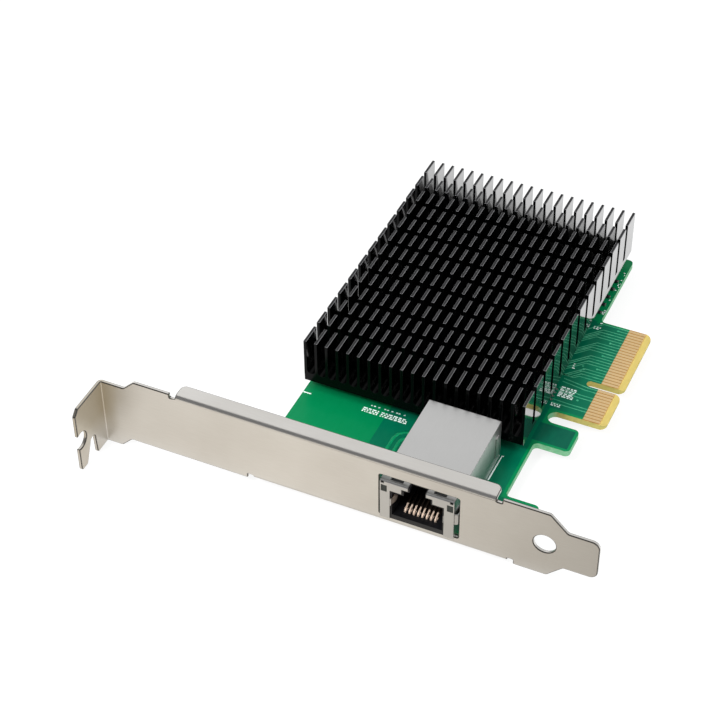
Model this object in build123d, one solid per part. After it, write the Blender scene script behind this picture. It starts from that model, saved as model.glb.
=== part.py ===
from build123d import *
import os

os.makedirs("parts", exist_ok=True)

# A low-profile network interface card. X runs along the bracket from the screw tab to the tongue,
# Y runs from the bracket's outer face into the computer, and Z rises from the board's component side.
# The origin is where the tab's outer face, the bracket's outer face and the component side meet.
# Every size is in millimetres.

# Bracket: one folded sheet of plated steel
sheet = 0.86                    # thickness of the sheet
bend_inside = 0.25              # inside radius of every fold
bracket_length = 120.02         # from the tab's outer face to the end of the tongue
plate_width = 18.42
plate_top = 15.83               # height of the plate's top edge
neck_drop = 2.75                # how far the neck by the tab is shifted below the plate
neck_top_length = 6.65          # where the neck's upper ramp starts
neck_bottom_length = 4.8        # where the neck's lower ramp starts
tongue_reach = 11.17            # from where the plate starts to narrow to the tongue's end
tongue_top = 11.75
tongue_width = 10.75
plate_corner_radius = 1.0
tongue_corner_radius = 1.9
bracket_hole_reach = 12.07      # from the hole's centre to the tongue's end
bracket_hole_z = 6.7
bracket_hole_radius = 2.52
relief_width = 1.4              # notch at each end of a flange, where the fold stops

# Screw tab, folded outwards
tab_depth = 11.43               # from the bracket's outer face to the tab's edge
tab_corner_cut = 1.5
screw_slot_depth = 10.2         # from the bracket's outer face to the slot's centre
screw_slot_z = 3.55
screw_slot_radius = 2.21
tab_leg_inner = 8.9             # the leg's inner bottom corner, from the bracket's outer face
tab_leg_lift = 0.45             # how much the leg stops short of the neck's bottom edge
tab_notch_radius = 1.05         # round root of the notch beside the leg
tab_notch_depth = 5.75          # from the bracket's outer face to the root's centre
tab_notch_z = -0.15
tab_notch_inner = 4.4           # the notch's bottom corner nearer the fold
tab_foot_radius = 0.6

# Flanges
top_flange_start = 20.0
top_flange_end = 96.7
top_flange_depth = 4.16
top_flange_corner = 1.4
board_flange_start = 38.8
board_flange_end = 99.8
board_flange_depth = 7.9
board_flange_corner = 1.5
bracket_screw_start = 43.0      # X of the first screw that holds the board
bracket_screw_spacing = 53.0
bracket_screw_y = 4.6
bracket_screw_radius = 1.5
screw_collar_radius = 2.35
screw_collar_height = 1.1
thread_gap = 0.05               # between a screw's shank and the thread around it
screw_play = 0.2                # between a screw's shank and a plain hole

# Port window in the plate
window_side_gap_low = 0.52      # beside the jack, on the tab's side
window_side_gap_high = 0.83     # beside the jack, on the tongue's side
window_sill = -0.15
window_head_gap = 0.68          # above the jack
window_radius = 0.5

# Circuit board
board_thickness = 1.57
board_left = 37.7
board_right = 93.15
board_front_gap = 0.34          # between the plate's inner face and the board
board_back_step = 0.05          # how far the heat sink's back stands past the board's
foot_right = 101.43             # also the outer side of the retention hook
foot_back = 16.0
hook_front = 34.35
hook_back = 41.95
board_corner_radius = 1.2
contact_edge_x = 106.26         # outer edge of the contact segments
key_centre_y = 57.92
key_width = 1.9
key_depth = 8.83
contact_pitch = 1.0
contact_count_front = 11        # between the slot and the key
contact_count_back = 21         # behind the key
contact_to_key = 0.55           # first contact's centre from the key's side
contact_to_end = 0.65           # last contact's centre from the segment's end
contact_width = 0.7
contact_start_x = 100.67
contact_end_x = 104.7
contact_thickness = 0.05
hook_slot_root = 93.0           # innermost reach of the round slot beside the hook
segment_corner_radius = 1.3
bevel_length = 1.3
bevel_depth = 0.45

# Network jack
jack_centre_x = 79.0
jack_width = 17.35
jack_height = 11.32
jack_front = -0.85              # the face stands proud of the bracket
jack_back = 26.86
shield_sheet = 0.25
shield_bend = 0.5
mouth_half_width = 6.32
mouth_shoulder_z = 8.75
latch_step_half_width = 3.6
latch_step_z = 10.15
latch_notch_half_width = 2.1
latch_notch_back = 1.2
light_window_margin = 0.275     # from the jack's side
light_window_width = 1.35
light_window_bottom = 8.15
light_window_height = 1.85
corner_relief_width = 0.7
corner_relief_height = 0.5
top_slot_inner = 3.6
top_slot_outer = 6.45
top_slot_length = 1.5
housing_play = 0.05             # between the shell and what it holds
plug_half_width = 5.95
plug_floor = 1.3
plug_shoulder_z = 8.2
plug_depth = 12.4               # from the jack's face to the back of the cavity
housing_length = 14.6
latch_channel_half_width = 3.2
latch_channel_z = 9.75
latch_groove_half_width = 1.85
latch_groove_z = 10.6
peg_spread = 5.7                # each board peg from the jack's centre
peg_y = 10.0                     # behind the bracket's lower flange
peg_radius = 1.6
peg_play = 0.08
peg_length = 2.4
wire_pitch = 1.02
wire_count = 8
wire_width = 0.38
wire_thickness = 0.3
wire_front = 1.35               # where each contact wire turns back, from the bracket's outer face
wire_slope_end_y = 5.9
wire_slope_end_z = 3.1
wire_bend = 0.32
wire_channel_play = 0.08
pin_side = 0.46                 # square pins in plated holes
pin_hole_radius = 0.42
plated_hole_sides = 8
pin_reach = 2.55                # how far pins and tails reach below the component side
signal_pin_pitch = 2.54
signal_pin_count = 5            # in each of two staggered rows
signal_row_y = 17.4
light_pin_y = 24.4
tail_width = 1.3
tail_hole_play = 0.15
side_spring_length = 4.6
side_spring_bottom = 4.2
side_spring_height = 3.0
plug_spring_bottom = 4.1
plug_spring_height = 2.2
cover_hook_y = 23.4
cover_hook_width = 1.5
cover_hook_bottom = 2.4
cover_hook_height = 6.1

# Heat sink
sink_left = 37.7
sink_width = 54.45
sink_front = 29.3
sink_length = 76.25
sink_bottom = 3.0
sink_top = 15.0
sink_columns = 21
sink_rows = 13
fin_thickness = 0.7
groove_floor_z = 5.25
cross_cut_width = 1.78
cross_cut_pitch = 5.777
cross_cut_floor_z = 4.65
sink_screw_inset = 4.2
sink_screw_end_inset = 5.5
sink_screw_radius = 1.25
sink_screw_tip_z = 2.7
sink_spacer_radius = 2.6        # to the corners of the hexagon
spacer_sides = 6
shank_sides = 12                # screw shanks and the threads around them are prisms
head_sides = 24
screw_head_radius_factor = 1.85
part_gap = 0.86                 # between neighbours in a row of parts under the heat sink
sink_screw_head_height = 1.0
bracket_screw_head_height = 1.9
drive_recess_factor = 0.75      # half width of a cross recess, as a share of the shank's radius
drive_recess_width = 0.5
drive_recess_depth = 0.55

# Network controller under the heat sink
controller_side = 25.0
controller_height = 1.3
lid_side = 21.5
lid_height = 1.2
lid_corner = 1.0

# Small parts
flash_centre_x = 89.0
flash_centre_y = 51.05
flash_length = 4.9
flash_body_width = 3.9
flash_span = 6.0
flash_height = 1.6
flash_foot = 0.15               # the body's height above the board
flash_pitch = 1.27
flash_lead_width = 0.42
flash_lead_thickness = 0.2
flash_leads_a_side = 4
inductor_side = 6.6
inductor_count = 3
inductor_height = 2.7
inductor_corner = 1.0
regulator_side = 5.0
regulator_count = 2
regulator_height = 0.9
crystal_length = 5.0
crystal_width = 3.2
crystal_height = 1.2
capacitor_length = 3.2
capacitor_width = 1.6
capacitor_count = 5
capacitor_pitch = 3.2
small_part_length = 1.6
small_part_width = 0.8
underside_field_count = 3       # small capacitors along each side of their square field
underside_field_pitch = 5.0
resistor_count = 5
resistor_pitch = 3.2
resistor_height = 0.5
end_cap_share = 0.2             # each metal end, as a share of a chip part's length

# Values that follow from the sizes above
bend_outside = bend_inside + sheet
taper_start = bracket_length - tongue_reach
bracket_hole_x = bracket_length - bracket_hole_reach
plate_bottom = plate_top - plate_width
neck_top = plate_top - neck_drop
neck_bottom = plate_bottom - neck_drop
tongue_bottom = tongue_top - tongue_width
tab_edge = -tab_depth
board_bottom = -board_thickness
board_flange_bottom = board_bottom - sheet
board_front = sheet + board_front_gap
key_front = key_centre_y - key_width / 2
key_back = key_centre_y + key_width / 2
front_segment_start = (key_front - contact_to_key - (contact_count_front - 1) * contact_pitch
                       - contact_to_end)
back_segment_end = (key_back + contact_to_key + (contact_count_back - 1) * contact_pitch
                    + contact_to_end)
light_window_inner = jack_width / 2 - light_window_margin - light_window_width
jack_left = jack_centre_x - jack_width / 2
jack_right = jack_centre_x + jack_width / 2
shell_inner_half = jack_width / 2 - shield_sheet
shell_inner_top = jack_height - shield_sheet
housing_front = jack_front + shield_sheet + housing_play
housing_back = jack_front + housing_length
housing_half = shell_inner_half - housing_play
plug_back = jack_front + plug_depth
sink_right = sink_left + sink_width
sink_back = sink_front + sink_length
board_back = sink_back - board_back_step
lid_top = controller_height + lid_height
controller_x = sink_left + sink_width / 2
controller_y = sink_front + sink_length / 2



def block(x_from, x_to, y_from, y_to, z_from, z_to):
    """A box between two opposite corners."""
    middle = Pos((x_from + x_to) / 2, (y_from + y_to) / 2, (z_from + z_to) / 2)
    return middle * Box(x_to - x_from, y_to - y_from, z_to - z_from)


def post(x, y, radius, z_from, z_to):
    """An upright round bar."""
    return Pos(x, y, (z_from + z_to) / 2) * Cylinder(radius, z_to - z_from)


def prism(x, y, radius, sides, z_from, z_to):
    """An upright bar with flat sides. The radius runs to its corners."""
    return flat(Pos(x, y) * RegularPolygon(radius, sides), z_from, z_to)


def outline(*corners):
    """A flat face with straight sides."""
    return make_face(Polyline(*corners, close=True))


def upright(face, y_from, y_to):
    """A face drawn in X and Z, made solid between two Y values."""
    return extrude(Plane.XZ.offset(-y_from) * face, amount=y_from - y_to)


def sideways(face, x_from, x_to):
    """A face drawn in Y and Z, made solid between two X values."""
    return extrude(Plane.YZ.offset(x_from) * face, amount=x_to - x_from)


def flat(face, z_from, z_to):
    """A face drawn in X and Y, made solid between two heights."""
    return extrude(Plane.XY.offset(z_from) * face, amount=z_to - z_from)


def round_corners(face, radius, wanted):
    """The same face with its wanted corners rounded."""
    return fillet([corner for corner in face.vertices() if wanted(corner)], radius)


def both_sides(half):
    """Corners of a shape that is the same on both sides of the jack's middle."""
    right = [(jack_centre_x + distance, height) for distance, height in half]
    left = [(jack_centre_x - distance, height) for distance, height in reversed(half)]
    return right + left


def band(thickness, *points):
    """The outline of a bent strip whose middle follows the points, with mitred bends."""
    places = [Vector(*point) for point in points]
    runs = [(end - start).normalized() for start, end in zip(places, places[1:])]
    left, right = [], []
    for place, before, after in zip(places, [runs[0]] + runs, runs + [runs[-1]]):
        across = (before + after).normalized()
        half = thickness / 2 / across.dot(before)
        side = Vector(-across.Y, across.X) * half
        left.append(place + side)
        right.append(place - side)
    return outline(*left, *reversed(right))


def fold_quarter():
    """Section of a right-angle fold whose outer skin touches both axes."""
    ring = Circle(bend_outside) - Circle(bend_inside)
    corner = Pos(-bend_outside / 2, bend_outside / 2) * Rectangle(bend_outside, bend_outside)
    return Pos(bend_outside, -bend_outside) * (ring & corner)


def plate():
    """The upright face of the bracket, with its neck, ramps and tongue."""
    face = outline(
        (bend_outside, neck_top),
        (neck_top_length, neck_top),
        (neck_top_length + neck_drop, plate_top),
        (taper_start, plate_top),
        (taper_start + plate_top - tongue_top, tongue_top),
        (bracket_length, tongue_top),
        (bracket_length, tongue_bottom),
        (taper_start + tongue_bottom - plate_bottom, tongue_bottom),
        (taper_start, plate_bottom),
        (neck_bottom_length + neck_drop, plate_bottom),
        (neck_bottom_length, neck_bottom),
        (bend_outside, neck_bottom),
    )
    tongue_middle = (taper_start + bracket_length) / 2
    face = round_corners(face, plate_corner_radius,
                         lambda corner: neck_bottom_length / 2 < corner.X < tongue_middle)
    face = round_corners(face, tongue_corner_radius, lambda corner: corner.X > bracket_length - sheet)
    face -= Pos(bracket_hole_x, bracket_hole_z) * Circle(bracket_hole_radius)
    return upright(face, 0, sheet) - port_window() - relief_cuts()


def port_window():
    """Space in the plate for the jack."""
    left = jack_left - window_side_gap_low
    right = jack_right + window_side_gap_high
    head = jack_height + window_head_gap
    face = RectangleRounded(right - left, head - window_sill, window_radius)
    return upright(Pos((left + right) / 2, (head + window_sill) / 2) * face, -sheet, 2 * sheet)


def relief_cuts():
    """What the two folds and the notches at their ends take from the plate."""
    over = block(top_flange_start - relief_width, top_flange_end + relief_width, -sheet, 2 * sheet,
                 plate_top - bend_outside, plate_top + sheet)
    under = block(board_flange_start - relief_width, board_flange_end + relief_width, -sheet, 2 * sheet,
                  plate_bottom - sheet, board_flange_bottom + bend_outside)
    return over + under


def flange_face(start, end, depth, corner_radius):
    """A flange seen from above, round at its two free corners."""
    face = outline((start, bend_outside), (end, bend_outside), (end, depth), (start, depth))
    return round_corners(face, corner_radius, lambda corner: corner.Y > (bend_outside + depth) / 2)


def top_flange():
    """The fold along the plate's upper edge."""
    section = Plane(origin=(top_flange_start, 0, plate_top), x_dir=(0, 1, 0), z_dir=(1, 0, 0))
    fold = extrude(section * fold_quarter(), amount=top_flange_end - top_flange_start)
    face = flange_face(top_flange_start, top_flange_end, top_flange_depth, top_flange_corner)
    return fold + flat(face, plate_top - sheet, plate_top)


def bracket_screw_places():
    """The two screws that hold the board to the lower flange."""
    return [(bracket_screw_start + step * bracket_screw_spacing, bracket_screw_y) for step in (0, 1)]


def board_flange():
    """The fold under the board, with a threaded collar for each screw."""
    section = Plane(origin=(board_flange_end, 0, board_flange_bottom), x_dir=(0, 1, 0), z_dir=(-1, 0, 0))
    fold = extrude(section * fold_quarter(), amount=board_flange_end - board_flange_start)
    face = flange_face(board_flange_start, board_flange_end, board_flange_depth, board_flange_corner)
    body = fold + flat(face, board_flange_bottom, board_bottom)
    collar_bottom = board_flange_bottom - screw_collar_height
    for x, y in bracket_screw_places():
        body += post(x, y, screw_collar_radius, collar_bottom, board_flange_bottom)
    for x, y in bracket_screw_places():
        body -= prism(x, y, bracket_screw_radius + thread_gap, shank_sides, collar_bottom - sheet,
                      board_bottom + sheet)
    return body


def screw_tab():
    """The tab that takes the case's screw, folded away from the computer."""
    section = Plane(origin=(0, sheet, neck_top), x_dir=(0, -1, 0), z_dir=(0, 0, -1))
    fold = extrude(section * fold_quarter(), amount=neck_top - neck_bottom)
    leg_bottom = neck_bottom + tab_leg_lift
    face = outline(
        (-bend_inside, neck_top),
        (tab_edge + tab_corner_cut, neck_top),
        (tab_edge, neck_top - tab_corner_cut),
        (tab_edge, leg_bottom),
        (-tab_leg_inner, leg_bottom),
        (-tab_notch_depth - tab_notch_radius, tab_notch_z),
        (-tab_notch_depth + tab_notch_radius, tab_notch_z),
        (-tab_notch_inner, neck_bottom),
        (-bend_inside, neck_bottom),
    )
    face = round_corners(face, tab_foot_radius,
                         lambda corner: corner.X < -bend_outside and corner.Y < leg_bottom + sheet)
    face -= Pos(-tab_notch_depth, tab_notch_z) * Circle(tab_notch_radius)
    face -= Pos(-screw_slot_depth, screw_slot_z) * Circle(screw_slot_radius)
    return fold + sideways(face, 0, sheet)


def bracket():
    return plate() + top_flange() + board_flange() + screw_tab()


def screw(x, y, radius, head_height, seat, tip):
    """A screw with a cross recess. Its head sits on the seat height and its shank ends at the tip."""
    up = 1 if seat > tip else -1
    crown = seat + up * head_height
    head = prism(x, y, radius * screw_head_radius_factor, head_sides, min(seat, crown), max(seat, crown))
    recess_floor = crown - up * drive_recess_depth
    half_length = radius * drive_recess_factor
    half_width = drive_recess_width / 2
    low, high = min(recess_floor, crown), max(recess_floor, crown)
    head -= block(x - half_length, x + half_length, y - half_width, y + half_width, low, high)
    head -= block(x - half_width, x + half_width, y - half_length, y + half_length, low, high)
    return head + prism(x, y, radius, shank_sides, min(seat, tip), max(seat, tip))


def bracket_screws():
    tip = board_flange_bottom - screw_collar_height
    return [screw(x, y, bracket_screw_radius, bracket_screw_head_height, 0, tip)
            for x, y in bracket_screw_places()]


def board_face():
    """The board's edge, with the retention hook, the round slot beside it and the key notch."""
    slot_radius = (front_segment_start - hook_back) / 2
    slot_centre = hook_slot_root + slot_radius
    key_root = contact_edge_x - key_depth + key_width / 2
    face = outline(
        (board_left, board_front),
        (foot_right, board_front),
        (foot_right, foot_back),
        (board_right, foot_back),
        (board_right, hook_front),
        (foot_right, hook_front),
        (foot_right, hook_back),
        (slot_centre, hook_back),
        (slot_centre, front_segment_start),
        (contact_edge_x, front_segment_start),
        (contact_edge_x, key_front),
        (key_root, key_front),
        (key_root, key_back),
        (contact_edge_x, key_back),
        (contact_edge_x, back_segment_end),
        (board_right, back_segment_end),
        (board_right, board_back),
        (board_left, board_back),
    )
    face = round_corners(face, segment_corner_radius, lambda corner: corner.X > contact_end_x)
    face = round_corners(face, board_corner_radius, lambda corner: at_plain_corner(corner))
    face -= Pos(slot_centre, hook_back + slot_radius) * Circle(slot_radius)
    face -= Pos(key_root, key_centre_y) * Circle(key_width / 2)
    return face


def at_plain_corner(corner):
    """True at the board's rounded corners away from the contacts, the slot and the bracket."""
    behind_bracket = corner.Y > foot_back - segment_corner_radius
    return behind_bracket and (corner.X < board_right + sheet
                               or (abs(corner.X - foot_right) < sheet and corner.Y < hook_back + sheet))


def bevel(surface, inward):
    """The wedge that thins the contact edge on one side of the board."""
    face = outline(
        (contact_edge_x - bevel_length, surface),
        (contact_edge_x + sheet, surface),
        (contact_edge_x + sheet, surface + inward * bevel_depth),
        (contact_edge_x, surface + inward * bevel_depth),
    )
    return upright(face, front_segment_start - sheet, back_segment_end + sheet)


def hole(x, y, radius):
    """A plain round hole through the board."""
    return post(x, y, radius, board_bottom - sheet, sheet)


def circuit_board():
    body = flat(board_face(), board_bottom, 0)
    body -= bevel(0, -1)
    body -= bevel(board_bottom, 1)
    for x, y in bracket_screw_places():
        body -= hole(x, y, bracket_screw_radius + screw_play)
    for x, y in sink_screw_places():
        body -= hole(x, y, sink_screw_radius + screw_play)
    for x, y in peg_places():
        body -= hole(x, y, peg_radius + peg_play)
    for x, y in pin_places():
        body -= prism(x, y, pin_hole_radius, plated_hole_sides, board_bottom - sheet, sheet)
    for x, y in tail_places():
        half_slot = tail_width / 2 + tail_hole_play
        body -= block(x - shield_sheet / 2 - tail_hole_play, x + shield_sheet / 2 + tail_hole_play,
                      y - half_slot, y + half_slot, board_bottom - sheet, sheet)
    return body


def contact_places():
    """Y of every contact's middle, outwards from the key on both sides."""
    front = [key_front - contact_to_key - step * contact_pitch for step in range(contact_count_front)]
    back = [key_back + contact_to_key + step * contact_pitch for step in range(contact_count_back)]
    return front + back


def edge_contacts(z_from, z_to):
    """The plated contacts of one side."""
    half = contact_width / 2
    return [block(contact_start_x, contact_end_x, y - half, y + half, z_from, z_to)
            for y in contact_places()]


def edge_contacts_top():
    return edge_contacts(0, contact_thickness)


def edge_contacts_bottom():
    return edge_contacts(board_bottom - contact_thickness, board_bottom)


def shell_section(inset, bottom):
    """The jack's shell seen from its side, this far inside its outer skin."""
    front, back, top = jack_front + inset, jack_back - inset, jack_height - inset
    face = outline((front, bottom), (front, top), (back, top), (back, bottom))
    return round_corners(face, shield_bend - inset, lambda corner: corner.Y > jack_height / 2)


def mouth():
    """The opening in the shell's face: plug, latch step and latch notch."""
    corners = both_sides([
        (mouth_half_width, -shield_sheet),
        (mouth_half_width, mouth_shoulder_z),
        (latch_step_half_width, mouth_shoulder_z),
        (latch_step_half_width, latch_step_z),
        (latch_notch_half_width, latch_step_z),
        (latch_notch_half_width, jack_height + shield_sheet),
    ])
    opening = upright(outline(*corners), jack_front - shield_sheet, housing_front)
    notch = block(jack_centre_x - latch_notch_half_width, jack_centre_x + latch_notch_half_width,
                  jack_front - shield_sheet, latch_notch_back, latch_step_z, jack_height + shield_sheet)
    return opening + notch


def face_details(side):
    """Light window, corner relief and top slot on one side of the shell's mouth."""
    inner = jack_centre_x + side * light_window_inner
    outer = inner + side * light_window_width
    window = block(min(inner, outer), max(inner, outer), jack_front - shield_sheet, housing_front,
                   light_window_bottom, light_window_bottom + light_window_height)
    edge = jack_centre_x + side * (jack_width / 2 - shield_sheet)
    relief_end = edge - side * corner_relief_width
    relief = block(min(edge, relief_end), max(edge, relief_end), jack_front - shield_sheet,
                   jack_front + shield_bend, shell_inner_top - corner_relief_height, shell_inner_top)
    near = jack_centre_x + side * top_slot_inner
    far = jack_centre_x + side * top_slot_outer
    slot = block(min(near, far), max(near, far), 0, top_slot_length,
                 shell_inner_top - shield_sheet, jack_height + shield_sheet)
    return window + relief + slot


def side_spring(side, gap):
    """A sprung strip that bows from the shell's side to the window's edge in the bracket."""
    wall = jack_centre_x + side * (jack_width - shield_sheet) / 2
    crest = wall + side * (gap - housing_play)
    front = jack_front + shield_bend
    back = front + side_spring_length
    path = FilletPolyline((wall, back), (crest, sheet), (crest, 0), (wall, front), radius=shield_bend)
    strip = trace(path, line_width=shield_sheet)
    return flat(strip, side_spring_bottom, side_spring_bottom + side_spring_height)


def plug_spring(side):
    """A strip folded in from the mouth's edge, which touches the plug's side."""
    root = jack_centre_x + side * (mouth_half_width - shield_sheet / 2)
    crest = jack_centre_x + side * (plug_half_width - shield_sheet)
    front = jack_front + shield_sheet / 2
    middle = front + plug_spring_height
    path = FilletPolyline((root + side * shield_sheet, front), (root, front), (crest, middle),
                          (root, middle + plug_spring_height), radius=shield_sheet / 2 + housing_play)
    strip = trace(path, line_width=shield_sheet)
    return flat(strip, plug_spring_bottom, plug_spring_bottom + plug_spring_height)


def tail_places():
    """The shell's solder tails: two on each side."""
    half = (jack_width - shield_sheet) / 2
    return [(jack_centre_x + side * half, y) for side in (-1, 1) for y in (peg_y, signal_row_y)]


def cover_hook(side):
    """The hooked strip of the back cover that closes over the shell's side."""
    wall = jack_centre_x + side * jack_width / 2
    skin = wall + side * shield_sheet
    return block(min(wall, skin), max(wall, skin), cover_hook_y, cover_hook_y + cover_hook_width,
                 cover_hook_bottom, cover_hook_bottom + cover_hook_height)


def jack_shield():
    body = sideways(shell_section(0, 0), jack_left, jack_right)
    body -= sideways(shell_section(shield_sheet, -shield_sheet), jack_left + shield_sheet,
                     jack_right - shield_sheet)
    body -= mouth()
    for side, gap in ((-1, window_side_gap_low), (1, window_side_gap_high)):
        body -= face_details(side)
        body += side_spring(side, gap)
        body += plug_spring(side)
        body += cover_hook(side)
    for x, y in tail_places():
        body += block(x - shield_sheet / 2, x + shield_sheet / 2, y - tail_width / 2, y + tail_width / 2,
                      -pin_reach, 0)
    return body


def peg_places():
    """The two plastic pegs that locate the jack on the board."""
    return [(jack_centre_x - peg_spread, peg_y), (jack_centre_x + peg_spread, peg_y)]


def wire_places():
    """X of each contact wire in the jack."""
    first = jack_centre_x - (wire_count - 1) * wire_pitch / 2
    return [first + step * wire_pitch for step in range(wire_count)]


def plug_cavity():
    """Room for the plug and its latch inside the housing."""
    corners = both_sides([
        (plug_half_width, plug_floor),
        (plug_half_width, plug_shoulder_z),
        (latch_channel_half_width, plug_shoulder_z),
        (latch_channel_half_width, latch_channel_z),
        (latch_groove_half_width, latch_channel_z),
        (latch_groove_half_width, latch_groove_z),
    ])
    room = upright(outline(*corners), jack_front, plug_back)
    notch = block(jack_centre_x - latch_groove_half_width, jack_centre_x + latch_groove_half_width,
                  jack_front, latch_notch_back, latch_channel_z, jack_height)
    return room + notch


def wire_channel(x):
    """The groove in the housing's floor that a contact wire lies in."""
    half = wire_width / 2 + wire_channel_play
    floor = wire_run_z() - wire_thickness / 2 - wire_channel_play
    front = wire_front - wire_thickness / 2 - wire_channel_play
    return block(x - half, x + half, front, housing_back + sheet, floor, plug_floor)


def wire_run_z():
    """Height of the contact wires where they lie in the housing's floor."""
    return plug_floor / 2 + wire_channel_play


def guide_room(side):
    """The open-sided channel of one light guide."""
    inner = jack_centre_x + side * (light_window_inner - housing_play)
    outer = jack_centre_x + side * (housing_half + housing_play)
    return block(min(inner, outer), max(inner, outer), jack_front, housing_back + sheet,
                 light_window_bottom - housing_play,
                 light_window_bottom + light_window_height + housing_play)


def spring_room(side):
    """The pocket behind one of the springs that touch the plug."""
    inner = jack_centre_x + side * (plug_half_width - housing_play)
    outer = jack_centre_x + side * (mouth_half_width + shield_sheet)
    return block(min(inner, outer), max(inner, outer), jack_front,
                 jack_front + 2 * plug_spring_height + shield_sheet + shield_bend,
                 plug_spring_bottom - housing_play,
                 plug_spring_bottom + plug_spring_height + housing_play)


def shell_filling(y_from, y_to):
    """What fills the shell between two Y values, with play all round."""
    whole = sideways(shell_section(shield_sheet + housing_play, 0), jack_centre_x - housing_half,
                     jack_centre_x + housing_half)
    return whole & block(jack_left, jack_right, y_from, y_to, 0, jack_height)


def jack_housing():
    body = shell_filling(housing_front, housing_back)
    body -= plug_cavity()
    for side in (-1, 1):
        body -= guide_room(side)
        body -= spring_room(side)
    for x in wire_places():
        body -= wire_channel(x)
    for x, y in peg_places():
        body += post(x, y, peg_radius, -peg_length, 0)
    return body


def contact_wire(x):
    """One sprung contact: it runs along the floor, turns at the front and slopes back up."""
    run, turn = wire_run_z(), wire_run_z() + plug_floor
    strip = band(wire_thickness, (housing_back, run), (wire_front + wire_bend, run),
                 (wire_front, run + wire_bend), (wire_front, turn - wire_bend),
                 (wire_front + wire_bend, turn), (wire_slope_end_y, wire_slope_end_z))
    return sideways(strip, x - wire_width / 2, x + wire_width / 2)


def jack_contacts():
    return [contact_wire(x) for x in wire_places()]


def light_guide(side):
    inner = jack_centre_x + side * (light_window_inner + housing_play)
    outer = jack_centre_x + side * (light_window_inner + light_window_width - housing_play)
    return block(min(inner, outer), max(inner, outer), jack_front + housing_play, housing_back,
                 light_window_bottom + housing_play,
                 light_window_bottom + light_window_height - housing_play)


def jack_light_guides():
    return [light_guide(-1), light_guide(1)]


def jack_transformer_module():
    """The potted block of transformers behind the plug cavity."""
    return shell_filling(housing_back, jack_back)


def pin_places():
    """Two staggered rows of signal pins and a back row for the lights."""
    places = []
    for row in (0, 1):
        first = jack_centre_x - (signal_pin_count - 1) * signal_pin_pitch / 2
        shift = (row - 1 / 2) * signal_pin_pitch / 2
        for step in range(signal_pin_count):
            places.append((first + shift + step * signal_pin_pitch, signal_row_y + row * signal_pin_pitch))
    for side in (-1, 1):
        places.append((jack_centre_x + side * (peg_spread - signal_pin_pitch / 4), light_pin_y))
        places.append((jack_centre_x + side * (peg_spread + 3 * signal_pin_pitch / 4), light_pin_y))
    return places


def jack_pins():
    half = pin_side / 2
    return [block(x - half, x + half, y - half, y + half, -pin_reach, 0) for x, y in pin_places()]


def groove_corners(middle):
    """One groove between two columns of fins."""
    half = fin_spacing() / 2
    return [
        (middle - half, sink_top + sheet),
        (middle - half, groove_floor_z),
        (middle + half, groove_floor_z),
        (middle + half, sink_top + sheet),
    ]


def column_pitch():
    return (sink_width - fin_thickness) / (sink_columns - 1)


def fin_spacing():
    """Clear distance between two columns of fins."""
    return column_pitch() - fin_thickness


def heat_sink():
    """The finned block: long grooves first, then lower cuts across them."""
    section = outline((sink_left, sink_bottom), (sink_right, sink_bottom),
                      (sink_right, sink_top), (sink_left, sink_top))
    for gap in range(sink_columns - 1):
        middle = sink_left + fin_thickness / 2 + (gap + 1 / 2) * column_pitch()
        section -= outline(*groove_corners(middle))
    body = upright(section, sink_front, sink_back)
    cuts = sink_rows - 1
    first = sink_front + (sink_length - (cuts - 1) * cross_cut_pitch - cross_cut_width) / 2
    for cut in range(cuts):
        y = first + cut * cross_cut_pitch
        body -= block(sink_left - sheet, sink_right + sheet, y, y + cross_cut_width,
                      cross_cut_floor_z, sink_top + sheet)
    return body


def sink_screw_places():
    """The four screws that hold the heat sink, near its corners."""
    return [(x, y)
            for x in (sink_left + sink_screw_inset, sink_right - sink_screw_inset)
            for y in (sink_front + sink_screw_end_inset, sink_back - sink_screw_end_inset)]


def heat_sink_screws():
    return [screw(x, y, sink_screw_radius, sink_screw_head_height, board_bottom, sink_screw_tip_z)
            for x, y in sink_screw_places()]


def heat_sink_spacers():
    return [prism(x, y, sink_spacer_radius, spacer_sides, 0, sink_bottom)
            - prism(x, y, sink_screw_radius + thread_gap, shank_sides, -sheet, sink_screw_tip_z + thread_gap)
            for x, y in sink_screw_places()]


def square_part(x, y, side, corner, z_from, z_to):
    """A square part with its upright corners cut off."""
    face = Rectangle(side, side)
    return flat(Pos(x, y) * chamfer(face.vertices(), corner), z_from, z_to)


def controller_chip():
    half = controller_side / 2
    return block(controller_x - half, controller_x + half, controller_y - half, controller_y + half,
                 0, controller_height)


def controller_lid():
    return square_part(controller_x, controller_y, lid_side, lid_corner, controller_height, lid_top)


def thermal_pad():
    half = lid_side / 2
    return block(controller_x - half, controller_x + half, controller_y - half, controller_y + half,
                 lid_top, sink_bottom)


def flash_memory():
    half_width, half_length = flash_body_width / 2, flash_length / 2
    return block(flash_centre_x - half_width, flash_centre_x + half_width,
                 flash_centre_y - half_length, flash_centre_y + half_length, flash_foot, flash_height)


def flash_lead(side, y):
    """One gull-wing lead of the flash memory."""
    body_side = flash_centre_x + side * flash_body_width / 2
    knee = flash_centre_x + side * (flash_body_width + flash_span) / 4
    tip = flash_centre_x + side * flash_span / 2
    shoulder = (flash_foot + flash_height) / 2
    thick = flash_lead_thickness
    face = outline(
        (body_side, shoulder + thick),
        (knee + side * thick / 2, shoulder + thick),
        (knee + side * thick / 2, thick),
        (tip, thick),
        (tip, 0),
        (knee - side * thick / 2, 0),
        (knee - side * thick / 2, shoulder),
        (body_side, shoulder),
    )
    return upright(face, y - flash_lead_width / 2, y + flash_lead_width / 2)


def flash_memory_leads():
    first = flash_centre_y - (flash_leads_a_side - 1) * flash_pitch / 2
    return [flash_lead(side, first + step * flash_pitch)
            for side in (-1, 1) for step in range(flash_leads_a_side)]


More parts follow.
